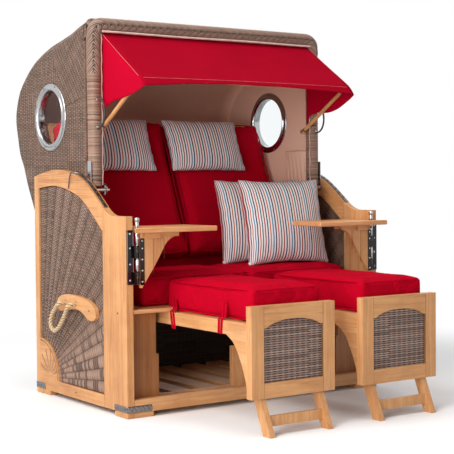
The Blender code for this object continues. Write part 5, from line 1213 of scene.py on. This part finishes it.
def redCushion(name, size, place, turn, body, seed, crown=0.004, waist=0.006, radius=0.016, wrinkle=0.0016):
    p, f = roundedBox(size, radius, crown, waist, 0.009, seed, wrinkle)
    # Room for the cloth to swell in, on each side.
    room = np.array(((0.002, 0.004, 0.003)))
    p *= 1 - 2 * room / np.array(size)
    obj = putMesh(name + "_soft", placed(p, place, turn), f, body, redCloth)
    weld(obj, 0.0002)
    sub = obj.modifiers.new("soft edges", "SUBSURF")
    sub.levels = sub.render_levels = 1
    applyModifiers(obj)
    obj.data.polygons.foreach_set("use_smooth", np.ones(len(obj.data.polygons), bool))
    inflate(obj, 0.024, 0.5)
    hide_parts(name)
    # Welted seams round the two broad faces, in the same cloth.
    half = np.array(size) / 2 - room
    turnStops = np.linspace(0, 2 * np.pi, 160, endpoint=False)
    for level in (-1, 1):
        c, s = np.cos(turnStops), np.sin(turnStops)
        power = 0.20
        u, w = np.sign(c) * np.abs(c) ** power, np.sign(s) * np.abs(s) ** power
        x = u * (half[0] - radius * 0.30) * (1 - waist * (1 - w ** 2))
        y = w * (half[1] - radius * 0.30) * (1 - waist * (1 - u ** 2))
        z = np.full_like(x, level * (half[2] - radius * 0.30))
        welt = tubeMesh("%s_welt_%s" % (name, "low" if level < 0 else "top"),
                        placed(np.stack([x, y, z], axis=1), place, turn), 0.0028, body, redCloth, 8, True,
                        up=(0.1, 0.2, 1) if turn is None else (0.1, -1, 0.4))
        yield welt
    yield obj


def allCushions():
    made = {}
    for side, tag in sides:
        depth = seat["rear"] - seat["front"]
        made["seat_cushion_" + tag] = list(redCushion(
            "seat_cushion_" + tag, (seat["half"] - 0.004, depth, seat["height"] - 0.002),
            (side * seat["half"] / 2, (seat["front"] + seat["rear"]) / 2, base["deck"] + seat["height"] / 2 + 0.0006),
            None, "base", 3 + side, 0.001, 0.006, 0.020))
        made["back_cushion_" + tag] = list(redCushion(
            "back_cushion_" + tag, (backBoard["half"] - 0.004, backBoard["length"], backBoard["thick"] - 0.002),
            onBack(side * backBoard["half"] / 2, backBoard["bottom"] + backBoard["length"] / 2,
                   backBoard["thick"] / 2 + 0.0006), backTurn, "hood", 13 + side, 0.002, 0.008, 0.022))
        low = footrest["tray"] + 0.0008
        near = footrest["panelY"] + footrest["panelThick"] + 0.002
        made["footrest_cushion_" + tag] = list(redCushion(
            "footrest_cushion_" + tag, (footrest["half"] * 2, footrest["rear"] - near, footrest["top"] - low),
            (side * footrest["offset"], (footrest["rear"] + near) / 2, (footrest["top"] + low) / 2), None,
            "footrest_" + tag, 23 + side, 0.001, 0.006, 0.016))
    return made


def squashFootrest(piece, tag):
    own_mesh(piece)


for name, pieces in allCushions().items():
    for piece in pieces:
        if name.startswith("footrest"):
            squashFootrest(piece, name.split("_")[-1])


# Painted shade: a red cloth sheet over the backrest board's foot below the back cushions, standing in for the deep red
# shade under them.
shadeSkirt = {"half": 0.536, "low": 0.004, "high": 0.075, "out": 0.0006}


def boardShadeSkirt(v):
    across, up = np.linspace(-v["half"], v["half"], 60), np.linspace(v["low"], v["high"], 10)
    p = np.array([[onBack(x, u, v["out"] + 0.0012 + 0.0005 * math.sin(x * 40 + u * 60)) for x in across] for u in up])
    obj = putMesh("board_shade_skirt", p, gridFaces(len(up), len(across)), "hood", redCloth)
    shell = obj.modifiers.new("cloth", "SOLIDIFY")
    shell.thickness, shell.offset = 0.0008, 0.0


boardShadeSkirt(shadeSkirt)
print("red cushions filled")


# Pillows.
def pillowShape(size, waist, cells=72):
    # Two sheets sewn at the rim: z = t/2 ((1-|u|^2.6)(1-|w|^2.6))^0.42, sides drawn in by waist between corners.
    even = np.linspace(-1, 1, cells + 1)
    u = np.sin(even * np.pi / 2)
    a, b = np.meshgrid(u, u, indexing="ij")
    rise = np.clip((1 - np.abs(a) ** 2.6) * (1 - np.abs(b) ** 2.6), 0, 1) ** 0.42
    x = a * size[0] / 2 * (1 - waist * (1 - b ** 2))
    y = b * size[1] / 2 * (1 - waist * (1 - a ** 2))
    crease = 0.0022 * np.sin(a * 17 + b * 3) * (np.abs(b) ** 4) + 0.0022 * np.sin(b * 15 - a * 4) * (np.abs(a) ** 4)
    top = np.stack([x, y, size[2] / 2 * rise + crease * (rise > 0.02)], axis=-1)
    low = np.stack([x, y, -size[2] / 2 * rise + crease * (rise > 0.02)], axis=-1)
    faces = gridFaces(cells + 1, cells + 1)
    points, allFaces = joinArrays([(top, faces[:, ::-1]), (low, faces)])
    # The stripes' coordinate keeps moving on over the bulged edges, where x hardly does.
    uvX = (0.5 * u + 0.575 * even)[:, None] * size[0] / 2 + 0 * y
    return points, allFaces, np.tile(np.stack([uvX, y], axis=-1).reshape(-1, 2), (2, 1))


def stripedPillow(name, size, place, turn, body, waist, rest=None, tufts=()):
    p, f, uv = pillowShape(size, waist)
    p = placed(p, place, turn)
    if rest is not None:
        # Pressed flat where it would go below what it rests on.
        point, up = np.array(rest[0]), np.array(rest[1])
        under = (p - point) @ up
        p = p + up[None] * np.maximum(0.0008 - under, 0)[:, None]
    obj = putMesh(name + "_soft", p, f, body, stripedCloth, uv)
    weld(obj, 0.0003)
    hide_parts(name)
    # Small knots of the same cloth at the lower corners.
    parts = []
    for u in tufts:
        centre = placed([(u * size[0] / 2 * 0.985, -size[1] / 2 * 0.975, 0)], place, turn)[0] + (0, 0, 0.004)
        profile = [(0.0001, -0.009), (0.0060, -0.006), (0.0085, 0.0), (0.0060, 0.006), (0.0001, 0.009)]
        parts.append(lathe(centre, (1, 0.2, 0.3 * u), profile, 14))
    if parts:
        points, faces = joinArrays(parts)
        knots = putMesh(name + "_knots", points, faces, body, stripedCloth, points[:, :2])
        weld(knots)
    return obj


pillows = {"neck": (0.40, 0.25, 0.095), "neckX": (-0.33, 0.157), "neckUp": 0.552, "loose": 0.42, "looseHigh": 0.385, "thick": 0.14,
           "lean": 13.0, "front": (0.322, -0.135, -3), "back": (0.285, -0.010, -8)}


def allPillows(v):
    normal = (0, -math.cos(lean), math.sin(lean))
    for x, tag in zip(v["neckX"], ("left", "right")):
        stripedPillow("neck_pillow_" + tag, v["neck"], onBack(x, v["neckUp"], backBoard["thick"] + v["neck"][2] / 2 + 0.0008),
                      backTurn, "hood", 0.05, (onBack(0, 0, backBoard["thick"] + 0.001), normal))
    level = base["deck"] + seat["height"]
    for tag in ("front", "back"):
        x, y, twist = v[tag]
        turn = Matrix.Rotation(math.radians(twist), 4, "Z") @ Matrix.Rotation(math.radians(90 - v["lean"]), 4, "X")
        up = v["looseHigh"] / 2 * math.cos(math.radians(v["lean"])) + 0.004
        stripedPillow("loose_pillow_" + tag, (v["loose"], v["looseHigh"], v["thick"]), np.array((x, y, level + up)), turn,
                      "base", 0.075, ((0, 0, level), (0, 0, 1)), (-1, 1))


allPillows(pillows)
print("pillows filled")


# Portholes: stepped rings on both faces of the wall.
port = {"radius": 0.146, "bore": 0.128, "glass": 0.118, "wall": 0.026, "proud": 0.010, "screws": 8, "screw": 0.0042}


def porthole(side, tag, v):
    # Section as a closed loop of (reach, out from the hood's face), turned round the porthole's axis.
    w = v["wall"]
    loop = [(v["radius"] - 0.0005, 0.0002), (v["radius"], 0.0022), (v["radius"] - 0.003, 0.0046),
            (v["radius"] - 0.011, 0.0056), (v["radius"] - 0.0125, 0.0044), (v["radius"] - 0.0140, 0.0056),
            (v["radius"] - 0.0180, 0.0062), (v["radius"] - 0.0195, 0.0090), (v["radius"] - 0.022, 0.0100),
            (v["glass"] + 0.003, 0.0098), (v["glass"], 0.0080), (v["glass"] - 0.003, 0.0030), (v["glass"] - 0.004, -0.004)]
    back = [(a, -w - b) for a, b in loop[::-1]]
    seat = [(v["bore"] - 0.0006, -w - 0.0002), (v["bore"] - 0.0006, 0.0002)]
    centre = (side * hood["half"], hood["porthole"][0], hood["porthole"][1])
    points, faces = lathe(centre, (side, 0, 0), loop + back + seat, 96, True)
    obj = putMesh("porthole_ring_" + tag, points, faces, "hood", chrome)
    weld(obj, 0.00001)
    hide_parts("porthole_" + tag)
    spots = []
    for k in range(v["screws"]):
        a = 2 * math.pi * (k + 0.5) / v["screws"]
        y, z = centre[1] + (v["radius"] - 0.0075) * math.cos(a), centre[2] + (v["radius"] - 0.0075) * math.sin(a)
        spots.append(((side * (hood["half"] + 0.0052), y, z), (side, 0, 0)))
        spots.append(((side * (hood["half"] - w - 0.0052), y, z), (-side, 0, 0)))
    screws("porthole_screws_" + tag, spots, v["screw"], "hood", darkSteel)


for side, tag in sides:
    porthole(side, tag, port)

# Table hinges: dark leaves with bright screws, rolled knuckles and a cap; the board has cleats and upright joints.
hinge = {"axisX": 0.597, "axisY": -0.4095, "low": 0.521, "top": 0.775, "knuckle": 0.05, "pitch": 0.051, "roll": 0.0076,
         "fixed": (0, 2), "moving": (1, 3), "upper": (4,), "leafTop": 0.732, "screw": 0.0046}
bracket = {"near": 0.585, "wide": 0.175, "thick": 0.018, "low": 0.507, "under": 0.7218, "joints": (0.055, 0.105),
           "cleat": (0.016, 0.022), "leaf": 0.018,
           "edge": ((0.410, 0.7218), (0.4130, 0.7120), (0.4257, 0.7060), (0.4469, 0.6970), (0.4702, 0.6782), (0.4931, 0.6400),
                    (0.5242, 0.5899), (0.5546, 0.5462), (0.5800, 0.5080))}


def tableFittings(side, tag, h, b):
    table = "table_" + tag
    tube = [(h["roll"] - 0.003, 0.0004), (h["roll"], 0.0010), (h["roll"], h["knuckle"] - 0.001), (h["roll"] - 0.003, h["knuckle"] - 0.0004)]
    for group, body, steps, look in (("fixed", "base", h["fixed"], darkPlate), ("moving", table, h["moving"], chrome),
                                    ("upper", "base", h["upper"], chrome)):
        parts = [lathe((side * h["axisX"], h["axisY"], h["low"] + h["pitch"] * k), (0, 0, 1), tube, 20) for k in steps]
        points, faces = joinArrays(parts)
        obj = putMesh("hinge_knuckles_%s_%s" % (group, tag), points, faces, body, look)
        shell = obj.modifiers.new("rolled leaf", "SOLIDIFY")
        shell.thickness, shell.offset = 0.0006, -1.0
    cap = [(0.0001, 0.0055), (0.006, 0.0052), (0.0092, 0.0030), (0.0098, 0.0), (0.0094, -0.010), (0.0086, -0.0105)]
    points, faces = lathe((side * h["axisX"], h["axisY"], h["top"]), (0, 0, 1), cap, 24)
    obj = putMesh("hinge_cap_" + tag, points, faces, "base", chrome)
    shell = obj.modifiers.new("cap wall", "SOLIDIFY")
    shell.thickness, shell.offset = 0.0006, -1.0
    # The pin, the fixed leaf on the post's face, its bright edges and its screws.
    rod = lathe((side * h["axisX"], h["axisY"], h["low"]), (0, 0, 1), ((0.0001, 0), (0.0045, 0), (0.0045, 0.254), (0.0001, 0.254)), 16)
    obj = putMesh("hinge_pin_" + tag, rod[0], rod[1], "base", chrome)
    weld(obj)
    outerX, innerX = 0.637, 0.610
    a0, a1 = sorted((side * innerX, side * outerX))
    outline = plateOutline((a0, h["low"]), (a1, h["leafTop"]), 0.002)
    knuckleBars = []
    for k in h["fixed"]:
        b0, b1 = sorted((side * (h["axisX"] + 0.004), side * (innerX + 0.002)))
        z = h["low"] + h["pitch"] * k
        knuckleBars.append((plateOutline((b0, z + 0.001), (b1, z + h["knuckle"] - 0.001), 0.001, 2), -0.4150, -0.3972, "y", 0.0004))
    plate = plates("hinge_leaf_fixed_" + tag, [(outline, -0.4012, -0.3966, "y", 0.0005)] + knuckleBars, "base", darkPlate)
    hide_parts("table_hinge_" + tag)
    strips = []
    for x in (outerX - 0.0016, innerX):
        strips.append((plateOutline((min(side * x, side * (x + 0.0016)), h["low"] + 0.001), (max(side * x, side * (x + 0.0016)),
                       h["leafTop"] - 0.001), 0.0006, 2), -0.4022, -0.3968, "y", 0.0002))
    plates("hinge_edges_" + tag, strips, "base", chrome)
    spots = [((side * 0.6235, -0.4008, z), (0, -1, 0)) for z in (0.538, 0.600, 0.662, 0.718)]
    screws("hinge_screws_" + tag, spots, h["screw"], "base", chrome)
    # The bracket: a board with a drawn-in lower edge, then its leaf, screws, cleats under the top and glue joints.
    front = h["axisY"] - b["thick"] / 2
    curve = smoothLine(b["edge"], 40)
    outline = [(side * x, z) for x, z in np.vstack([curve, [(b["near"], b["low"] + 0.001), (b["near"], b["under"])]])]
    board = plates("bracket_board_" + tag, [(outline, front, h["axisY"] + b["thick"] / 2, "y", 0.0012,
                                             (side * (b["near"] - 0.045), 0.66))], table, woodZ)
    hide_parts("table_bracket_" + tag)
    x0, x1 = sorted((side * (b["near"] + 0.004), side * (b["near"] + 0.004 - b["leaf"])))
    leaf = plateOutline((x0, b["low"] + 0.012), (x1, 0.700), 0.003)
    plates("hinge_leaf_" + tag, [(leaf, front - 0.0022, front + 0.0004, "y", 0.0005)], table, darkPlate)
    spots = [((side * (b["near"] + 0.004 - b["leaf"] / 2), front - 0.0022, z), (0, -1, 0)) for z in (0.532, 0.575, 0.618, 0.661, 0.690)]
    screws("leaf_screws_" + tag, spots, h["screw"] * 0.85, table, chrome)
    deep, high = b["cleat"]
    shapes = []
    for x, length, drop in ((b["near"] - 0.026, 0.056, 0.0), (b["near"] - 0.020, 0.150, -0.0006)):
        a0, a1 = sorted((side * x, side * (x - length)))
        top = b["under"] - 0.0006
        low = top - (high if length < 0.1 else high * 0.75)
        near = front - (deep if length < 0.1 else deep * 0.45)
        shapes.append((plateOutline((a0, low), (a1, top), 0.003), near, front + 0.0005, "y", 0.0012))
    plates("table_cleats_" + tag, shapes, table, woodX)
    grooves = []
    for reach in b["joints"]:
        x = side * (b["near"] - reach)
        low = b["low"] + 0.012 + (reach / b["wide"]) ** 1.3 * 0.185
        grooves.append((plateOutline((x - 0.0007, low), (x + 0.0007, b["under"] - 0.023), 0.0003, 2), front - 0.0004,
                        front + 0.0005, "y", 0.0001))
    plates("board_joints_" + tag, grooves, table, plug)


for side, tag in sides:
    tableFittings(side, tag, hinge, bracket)

# Stamped corner brackets above the feet, plugs over the dowels, and the foot blocks under the front rail.
corner = {"low": 0.0215, "high": 0.0475, "side": 0.100, "front": 0.110, "rear": 0.085, "thick": 0.0016, "foot": 0.0203}


def stampedLeaf(length, v, cells=96):
    # Strip with a pressed wave between its screws: out = thick + 0.0016 sin(6 pi u)^2 (1 - w^4), rims drawn down.
    u, w = np.linspace(0, 1, cells)[:, None], np.linspace(-1, 1, 14)[None, :]
    rim = np.clip(np.minimum(np.minimum(u, 1 - u) * length, (1 - np.abs(w)) * 0.0135) / 0.0012, 0, 1)
    out = (v["thick"] + 0.0017 * np.sin(5.5 * np.pi * u + 1.6 * w) ** 2 * (1 - w ** 4)) * rim ** 0.5 - 0.0002
    height = v["low"] + (w + 1) / 2 * (v["high"] - v["low"])
    return u * length + 0 * w, out, height + 0 * u


def cornerBrackets(side, tag, v):
    half, front, rear = base["half"], base["front"], base["rear"]
    parts, spots = [], []
    for kind, length in (("side", v["side"]), ("front", v["front"]), ("rear", v["rear"])):
        run, out, up = stampedLeaf(length, v)
        if kind == "front":
            p = np.stack([side * (half - run), front - out, up], axis=-1)
        else:
            p = np.stack([side * (half + out), front + run if kind == "side" else rear - run, up], axis=-1)
        parts.append((p, gridFaces(*run.shape)))
        for share in ((0.18, 0.5, 0.82) if length > 0.06 else (0.25, 0.75)):
            level = (v["low"] + v["high"]) / 2
            spots.append((((side * (half - share * length), front - 0.0030, level), (0, -1, 0)) if kind == "front" else
                          ((side * (half + 0.0030), front + share * length if kind == "side" else rear - share * length,
                            level), (side, 0, 0))))
    points, faces = joinArrays(parts)
    obj = putMesh("corner_bracket_" + tag, points, faces, "base", stamped)
    shell = obj.modifiers.new("plate", "SOLIDIFY")
    shell.thickness, shell.offset = 0.0006, -1.0
    screws("bracket_screws_" + tag, spots, 0.0042, "base", darkSteel)
    blocks = []
    for (a, b), (c, d) in (((0.520, front + 0.0008), (0.6074, front + 0.0595)), ((0.609, front + 0.0605), (0.6395, front + 0.100)),
                           ((0.609, rear - 0.125), (0.6395, rear - 0.0605))):
        x0, x1 = sorted((side * a, side * c))
        blocks.append((plateOutline((x0, b), (x1, d), 0.003), 0.0004, v["foot"], "z", 0.0012))
    plates("foot_blocks_" + tag, blocks, "base", woodX)
    dots = [((side * (half + 0.0003), y, z), (side, 0, 0)) for y, z in ((-0.327, 0.406), (0.031, 0.045))]
    screws("dowel_plugs_" + tag, dots, 0.0036, "base", plug)


for side, tag in sides:
    cornerBrackets(side, tag, corner)
    screws("plate_screw_" + tag, [((side * 0.6526, -0.115, 0.398), (side, 0, 0))], 0.0045, "base", darkSteel)

tips = {"x": 0.526, "pivot": (-0.020, 1.144), "front": (-0.318, 1.322), "radius": 0.0092}
for side, tag in sides:
    start = np.array((side * tips["x"],) + tips["pivot"])
    way = np.array((0.0, tips["front"][0] - tips["pivot"][0], tips["front"][1] - tips["pivot"][1]))
    shape = [(0.0001, -0.0100), (0.0070, -0.0095), (0.0092, -0.0070), (0.0096, 0.018), (0.0088, 0.0195), (0.0001, 0.0196)]
    tipPoints, tipFaces = lathe(start, way, shape, 20)
    tip = putMesh("strut_tip_" + tag, tipPoints, tipFaces, "awning", darkSteel)
    weld(tip)

# Carry loops on the hood's posts: leather straps that stand off to the front between two chrome studs.
loop = {"top": 1.262, "low": 1.138, "out": 0.060, "wide": 0.0036, "thick": 0.0030}


def carryLoop(side, tag, v):
    # Flat band along a half oval: y = face - out sin(t)^0.8, z = middle + half cos t.
    t = np.linspace(0.0, np.pi, 60)
    face = rim["y"] - rim["post"] + 0.001
    y = face - v["out"] * np.sin(t) ** 0.8
    z = (v["top"] + v["low"]) / 2 + (v["top"] - v["low"]) / 2 * np.cos(t)
    path = np.stack([np.full_like(y, side * rim["x"]), y, z], axis=1)
    ahead = np.gradient(path, axis=0)
    ahead /= np.linalg.norm(ahead, axis=1)[:, None]
    across = np.array((1.0, 0, 0))
    over = np.cross(ahead, across)
    section = np.array(plateOutline((-v["wide"], -v["thick"]), (v["wide"], v["thick"]), 0.0016, 3))
    ring = path[:, None] + across * section[None, :, :1] + over[:, None] * section[None, :, 1:]
    ring = np.concatenate([np.repeat(path[:1, None], len(section), 1), ring, np.repeat(path[-1:, None], len(section), 1)])
    obj = putMesh("carry_loop_" + tag, ring, gridFaces(len(ring), len(section), False, True), "hood", blackLoop)
    weld(obj)
    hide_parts("hood_handle_" + tag)
    screws("loop_studs_" + tag, [((side * rim["x"], face - 0.002, h), (0, -1, 0)) for h in (v["top"] - 0.006, v["low"] + 0.006)],
           0.0050, "hood", chrome)


for side, tag in sides:
    carryLoop(side, tag, loop)

# Tie straps of the footrest cushions: pairs of narrow ribbons down the tray's outer side.
straps = {"pairs": (((-0.4050, 0.456), (-0.4256, 0.340)), ((-0.7560, 0.466), (-0.7464, 0.352))), "wide": 0.0072, "spread": 0.0185,
          "tray": 0.4444, "stand": 0.0050}


def tieStraps(side, tag, v):
    outside = footrest["offset"] + footrest["half"]
    for number, (top, low) in enumerate(v["pairs"]):
        parts = []
        for shift in (-1, 1):
            # Ribbon from the cushion's seam to the tray's lower edge, bowed out a little, its ends apart.
            t = np.linspace(0, 1, 24)
            y = top[0] + (low[0] - top[0]) * t + shift * v["spread"] * (1.1 - 0.2 * t) / 2
            z = top[1] + (low[1] - top[1]) * t
            over = np.clip((footrest["tray"] + 0.010 - z) / 0.009, 0, 1)
            x = outside + v["stand"] + (v["tray"] - outside - v["stand"]) * over ** 0.5
            wide = np.array((-1, -0.4, 0.4, 1)) * v["wide"]
            p = np.stack(np.broadcast_arrays(side * x[:, None], y[:, None] + wide[None, :], z[:, None]), axis=-1)
            parts.append((p, gridFaces(24, 4)))
        points, faces = joinArrays(parts)
        obj = putMesh("tie_straps_%s_%s" % ("rear" if number == 0 else "front", tag), points, faces, "footrest_" + tag,
                      redCloth)
        shell = obj.modifiers.new("ribbon", "SOLIDIFY")
        shell.thickness, shell.offset = 0.0010, -1.0
        squashFootrest(obj, tag)


for side, tag in sides:
    tieStraps(side, tag, straps)

# Piping down the posts' inner edges and the magazine pocket on the right wall.
trim = {"x": 0.5440, "y": -0.0475, "low": 0.905, "top": 1.525, "radius": 0.0023, "bar": (-0.0560, 1.5345, 0.0046),
        "pocket": ((-0.010, 0.885), (0.165, 1.055)), "wall": 0.5735, "stand": 0.022}


def innerTrim(v):
    for side, tag in sides:
        line = [(side * (v["x"] + 0.0015 * math.sin(k * 2.2)), v["y"], z) for k, z in enumerate(np.linspace(v["low"], v["top"], 24))]
        pipe = tubeMesh("post_piping_" + tag, smoothLine(line, 90), v["radius"], "hood", pinkPiping, 8, up=(1, 0, 0))
    line = [(x, v["bar"][0], v["bar"][1] + 0.001 * math.sin(9 * x)) for x in np.linspace(-0.545, 0.545, 40)]
    tubeMesh("bow_piping", smoothLine(line, 160), v["bar"][2], "hood", pinkPiping, 10)
    # Pocket sheet: stands off the wall more at the top, with pleats |sin(5 pi a)| gathered under the hem.
    (y0, z0), (y1, z1) = v["pocket"]
    a, b = np.linspace(0, 1, 90)[None, :], np.linspace(0, 1, 40)[:, None]
    edge = np.clip(np.minimum(a, 1 - a) / 0.05, 0, 1) ** 0.7 * np.clip(b / 0.06, 0, 1) ** 0.7
    out = edge * (0.004 + v["stand"] * b ** 1.5 * np.sin(np.pi * a) ** 0.5
                  + 0.0035 * np.abs(np.sin(6 * np.pi * a)) * np.clip(1.2 - b, 0, 1))
    p = np.stack([v["wall"] - out, y0 + (y1 - y0) * a + 0 * b, z0 + (z1 - z0) * b + 0 * a], axis=-1)
    pocket = putMesh("magazine_pocket", p, gridFaces(40, 90)[:, ::-1], "hood", lining)
    shell = pocket.modifiers.new("pocket cloth", "SOLIDIFY")
    shell.thickness, shell.offset = 0.0012, 0.0
    hem = tubeMesh("pocket_hem", p[-1][::2], 0.0022, "hood", pinkPiping, 8, up=(1, 0, 0))


innerTrim(trim)
print("fittings and trim made")


# Floor, backdrop and light.
studio = {"floor": (0.74, 0.74, 0.74, 1), "floorSeen": (0.98, 0.98, 0.98, 1), "sky": (1.0, 1.0, 1.0, 1),
          "ambient": 0.37, "near": 1.5, "far": 2.8,
          "lamps": (("key", (-3.75, -0.9, 4.0), 3.0, 190.0), ("front", (-4.4, -3.0, 1.4), 2.2, 125.0),
                    ("top", (0.3, 0.2, 5.2), 3.0, 75.0), ("rear", (1.6, 4.2, 3.0), 2.5, 30.0))}


def lightRoom(v):
    size, steps = 9.0, 24
    line = np.linspace(-size, size, steps)
    x, y = np.meshgrid(line, line, indexing="ij")
    data = bpy.data.meshes.new("floor")
    points = np.stack([x, y, np.full_like(x, -0.0005)], axis=-1).reshape(-1, 3)
    data.from_pydata(points.tolist(), [], gridFaces(steps, steps)[:, ::-1].tolist())
    floor = bpy.data.objects.new("floor", data)
    bpy.context.scene.collection.objects.link(floor)
    material, tree, shader = newMaterial("pale_floor", {"Roughness": 0.8, "Specular IOR Level": 0.1})
    data.materials.append(material)
    # The floor is white where the camera sees it lit, keeps the shadow near the chair and fades into the backdrop.
    ray = put(tree, "ShaderNodeLightPath").outputs
    tree.links.new(blendColour(tree, ray["Is Camera Ray"], v["floor"], v["floorSeen"]), shader.inputs["Base Color"])
    reach = put(tree, "ShaderNodeVectorMath", {"operation": "LENGTH"}, {0: coords(tree)}).outputs["Value"]
    fade = calc(tree, "MULTIPLY", remap(tree, reach, v["near"], v["far"]), ray["Is Camera Ray"])
    white = put(tree, "ShaderNodeEmission", None, {"Color": v["sky"], "Strength": 1.0})
    mix = put(tree, "ShaderNodeMixShader", None, {0: fade, 1: shader.outputs[0], 2: white.outputs[0]})
    out = next(n for n in tree.nodes if n.type == "OUTPUT_MATERIAL")
    tree.links.new(mix.outputs[0], out.inputs["Surface"])
    world = bpy.data.worlds.new("studio")
    bpy.context.scene.world = world
    world.use_nodes = True
    tree = world.node_tree
    back = next(n for n in tree.nodes if n.type == "BACKGROUND")
    back.inputs["Color"].default_value = v["sky"]
    path = put(tree, "ShaderNodeLightPath").outputs
    seen = calc(tree, "MAXIMUM", path["Is Camera Ray"], calc(tree, "MAXIMUM", path["Is Glossy Ray"],
                                                             path["Is Transmission Ray"]))
    tree.links.new(calc(tree, "MULTIPLY_ADD", seen, 1.0 - v["ambient"], v["ambient"]), back.inputs["Strength"])
    for name, place, wide, power in v["lamps"]:
        light = bpy.data.lights.new(name, "AREA")
        light.size, light.energy = wide, power
        obj = bpy.data.objects.new(name, light)
        way = Vector((0.0, 0.0, 0.7)) - Vector(place)
        obj.matrix_world = Matrix.Translation(place) @ way.to_track_quat("-Z", "Y").to_matrix().to_4x4()
        bpy.context.scene.collection.objects.link(obj)
    bpy.context.scene.view_settings.view_transform = "Standard"


lightRoom(studio)
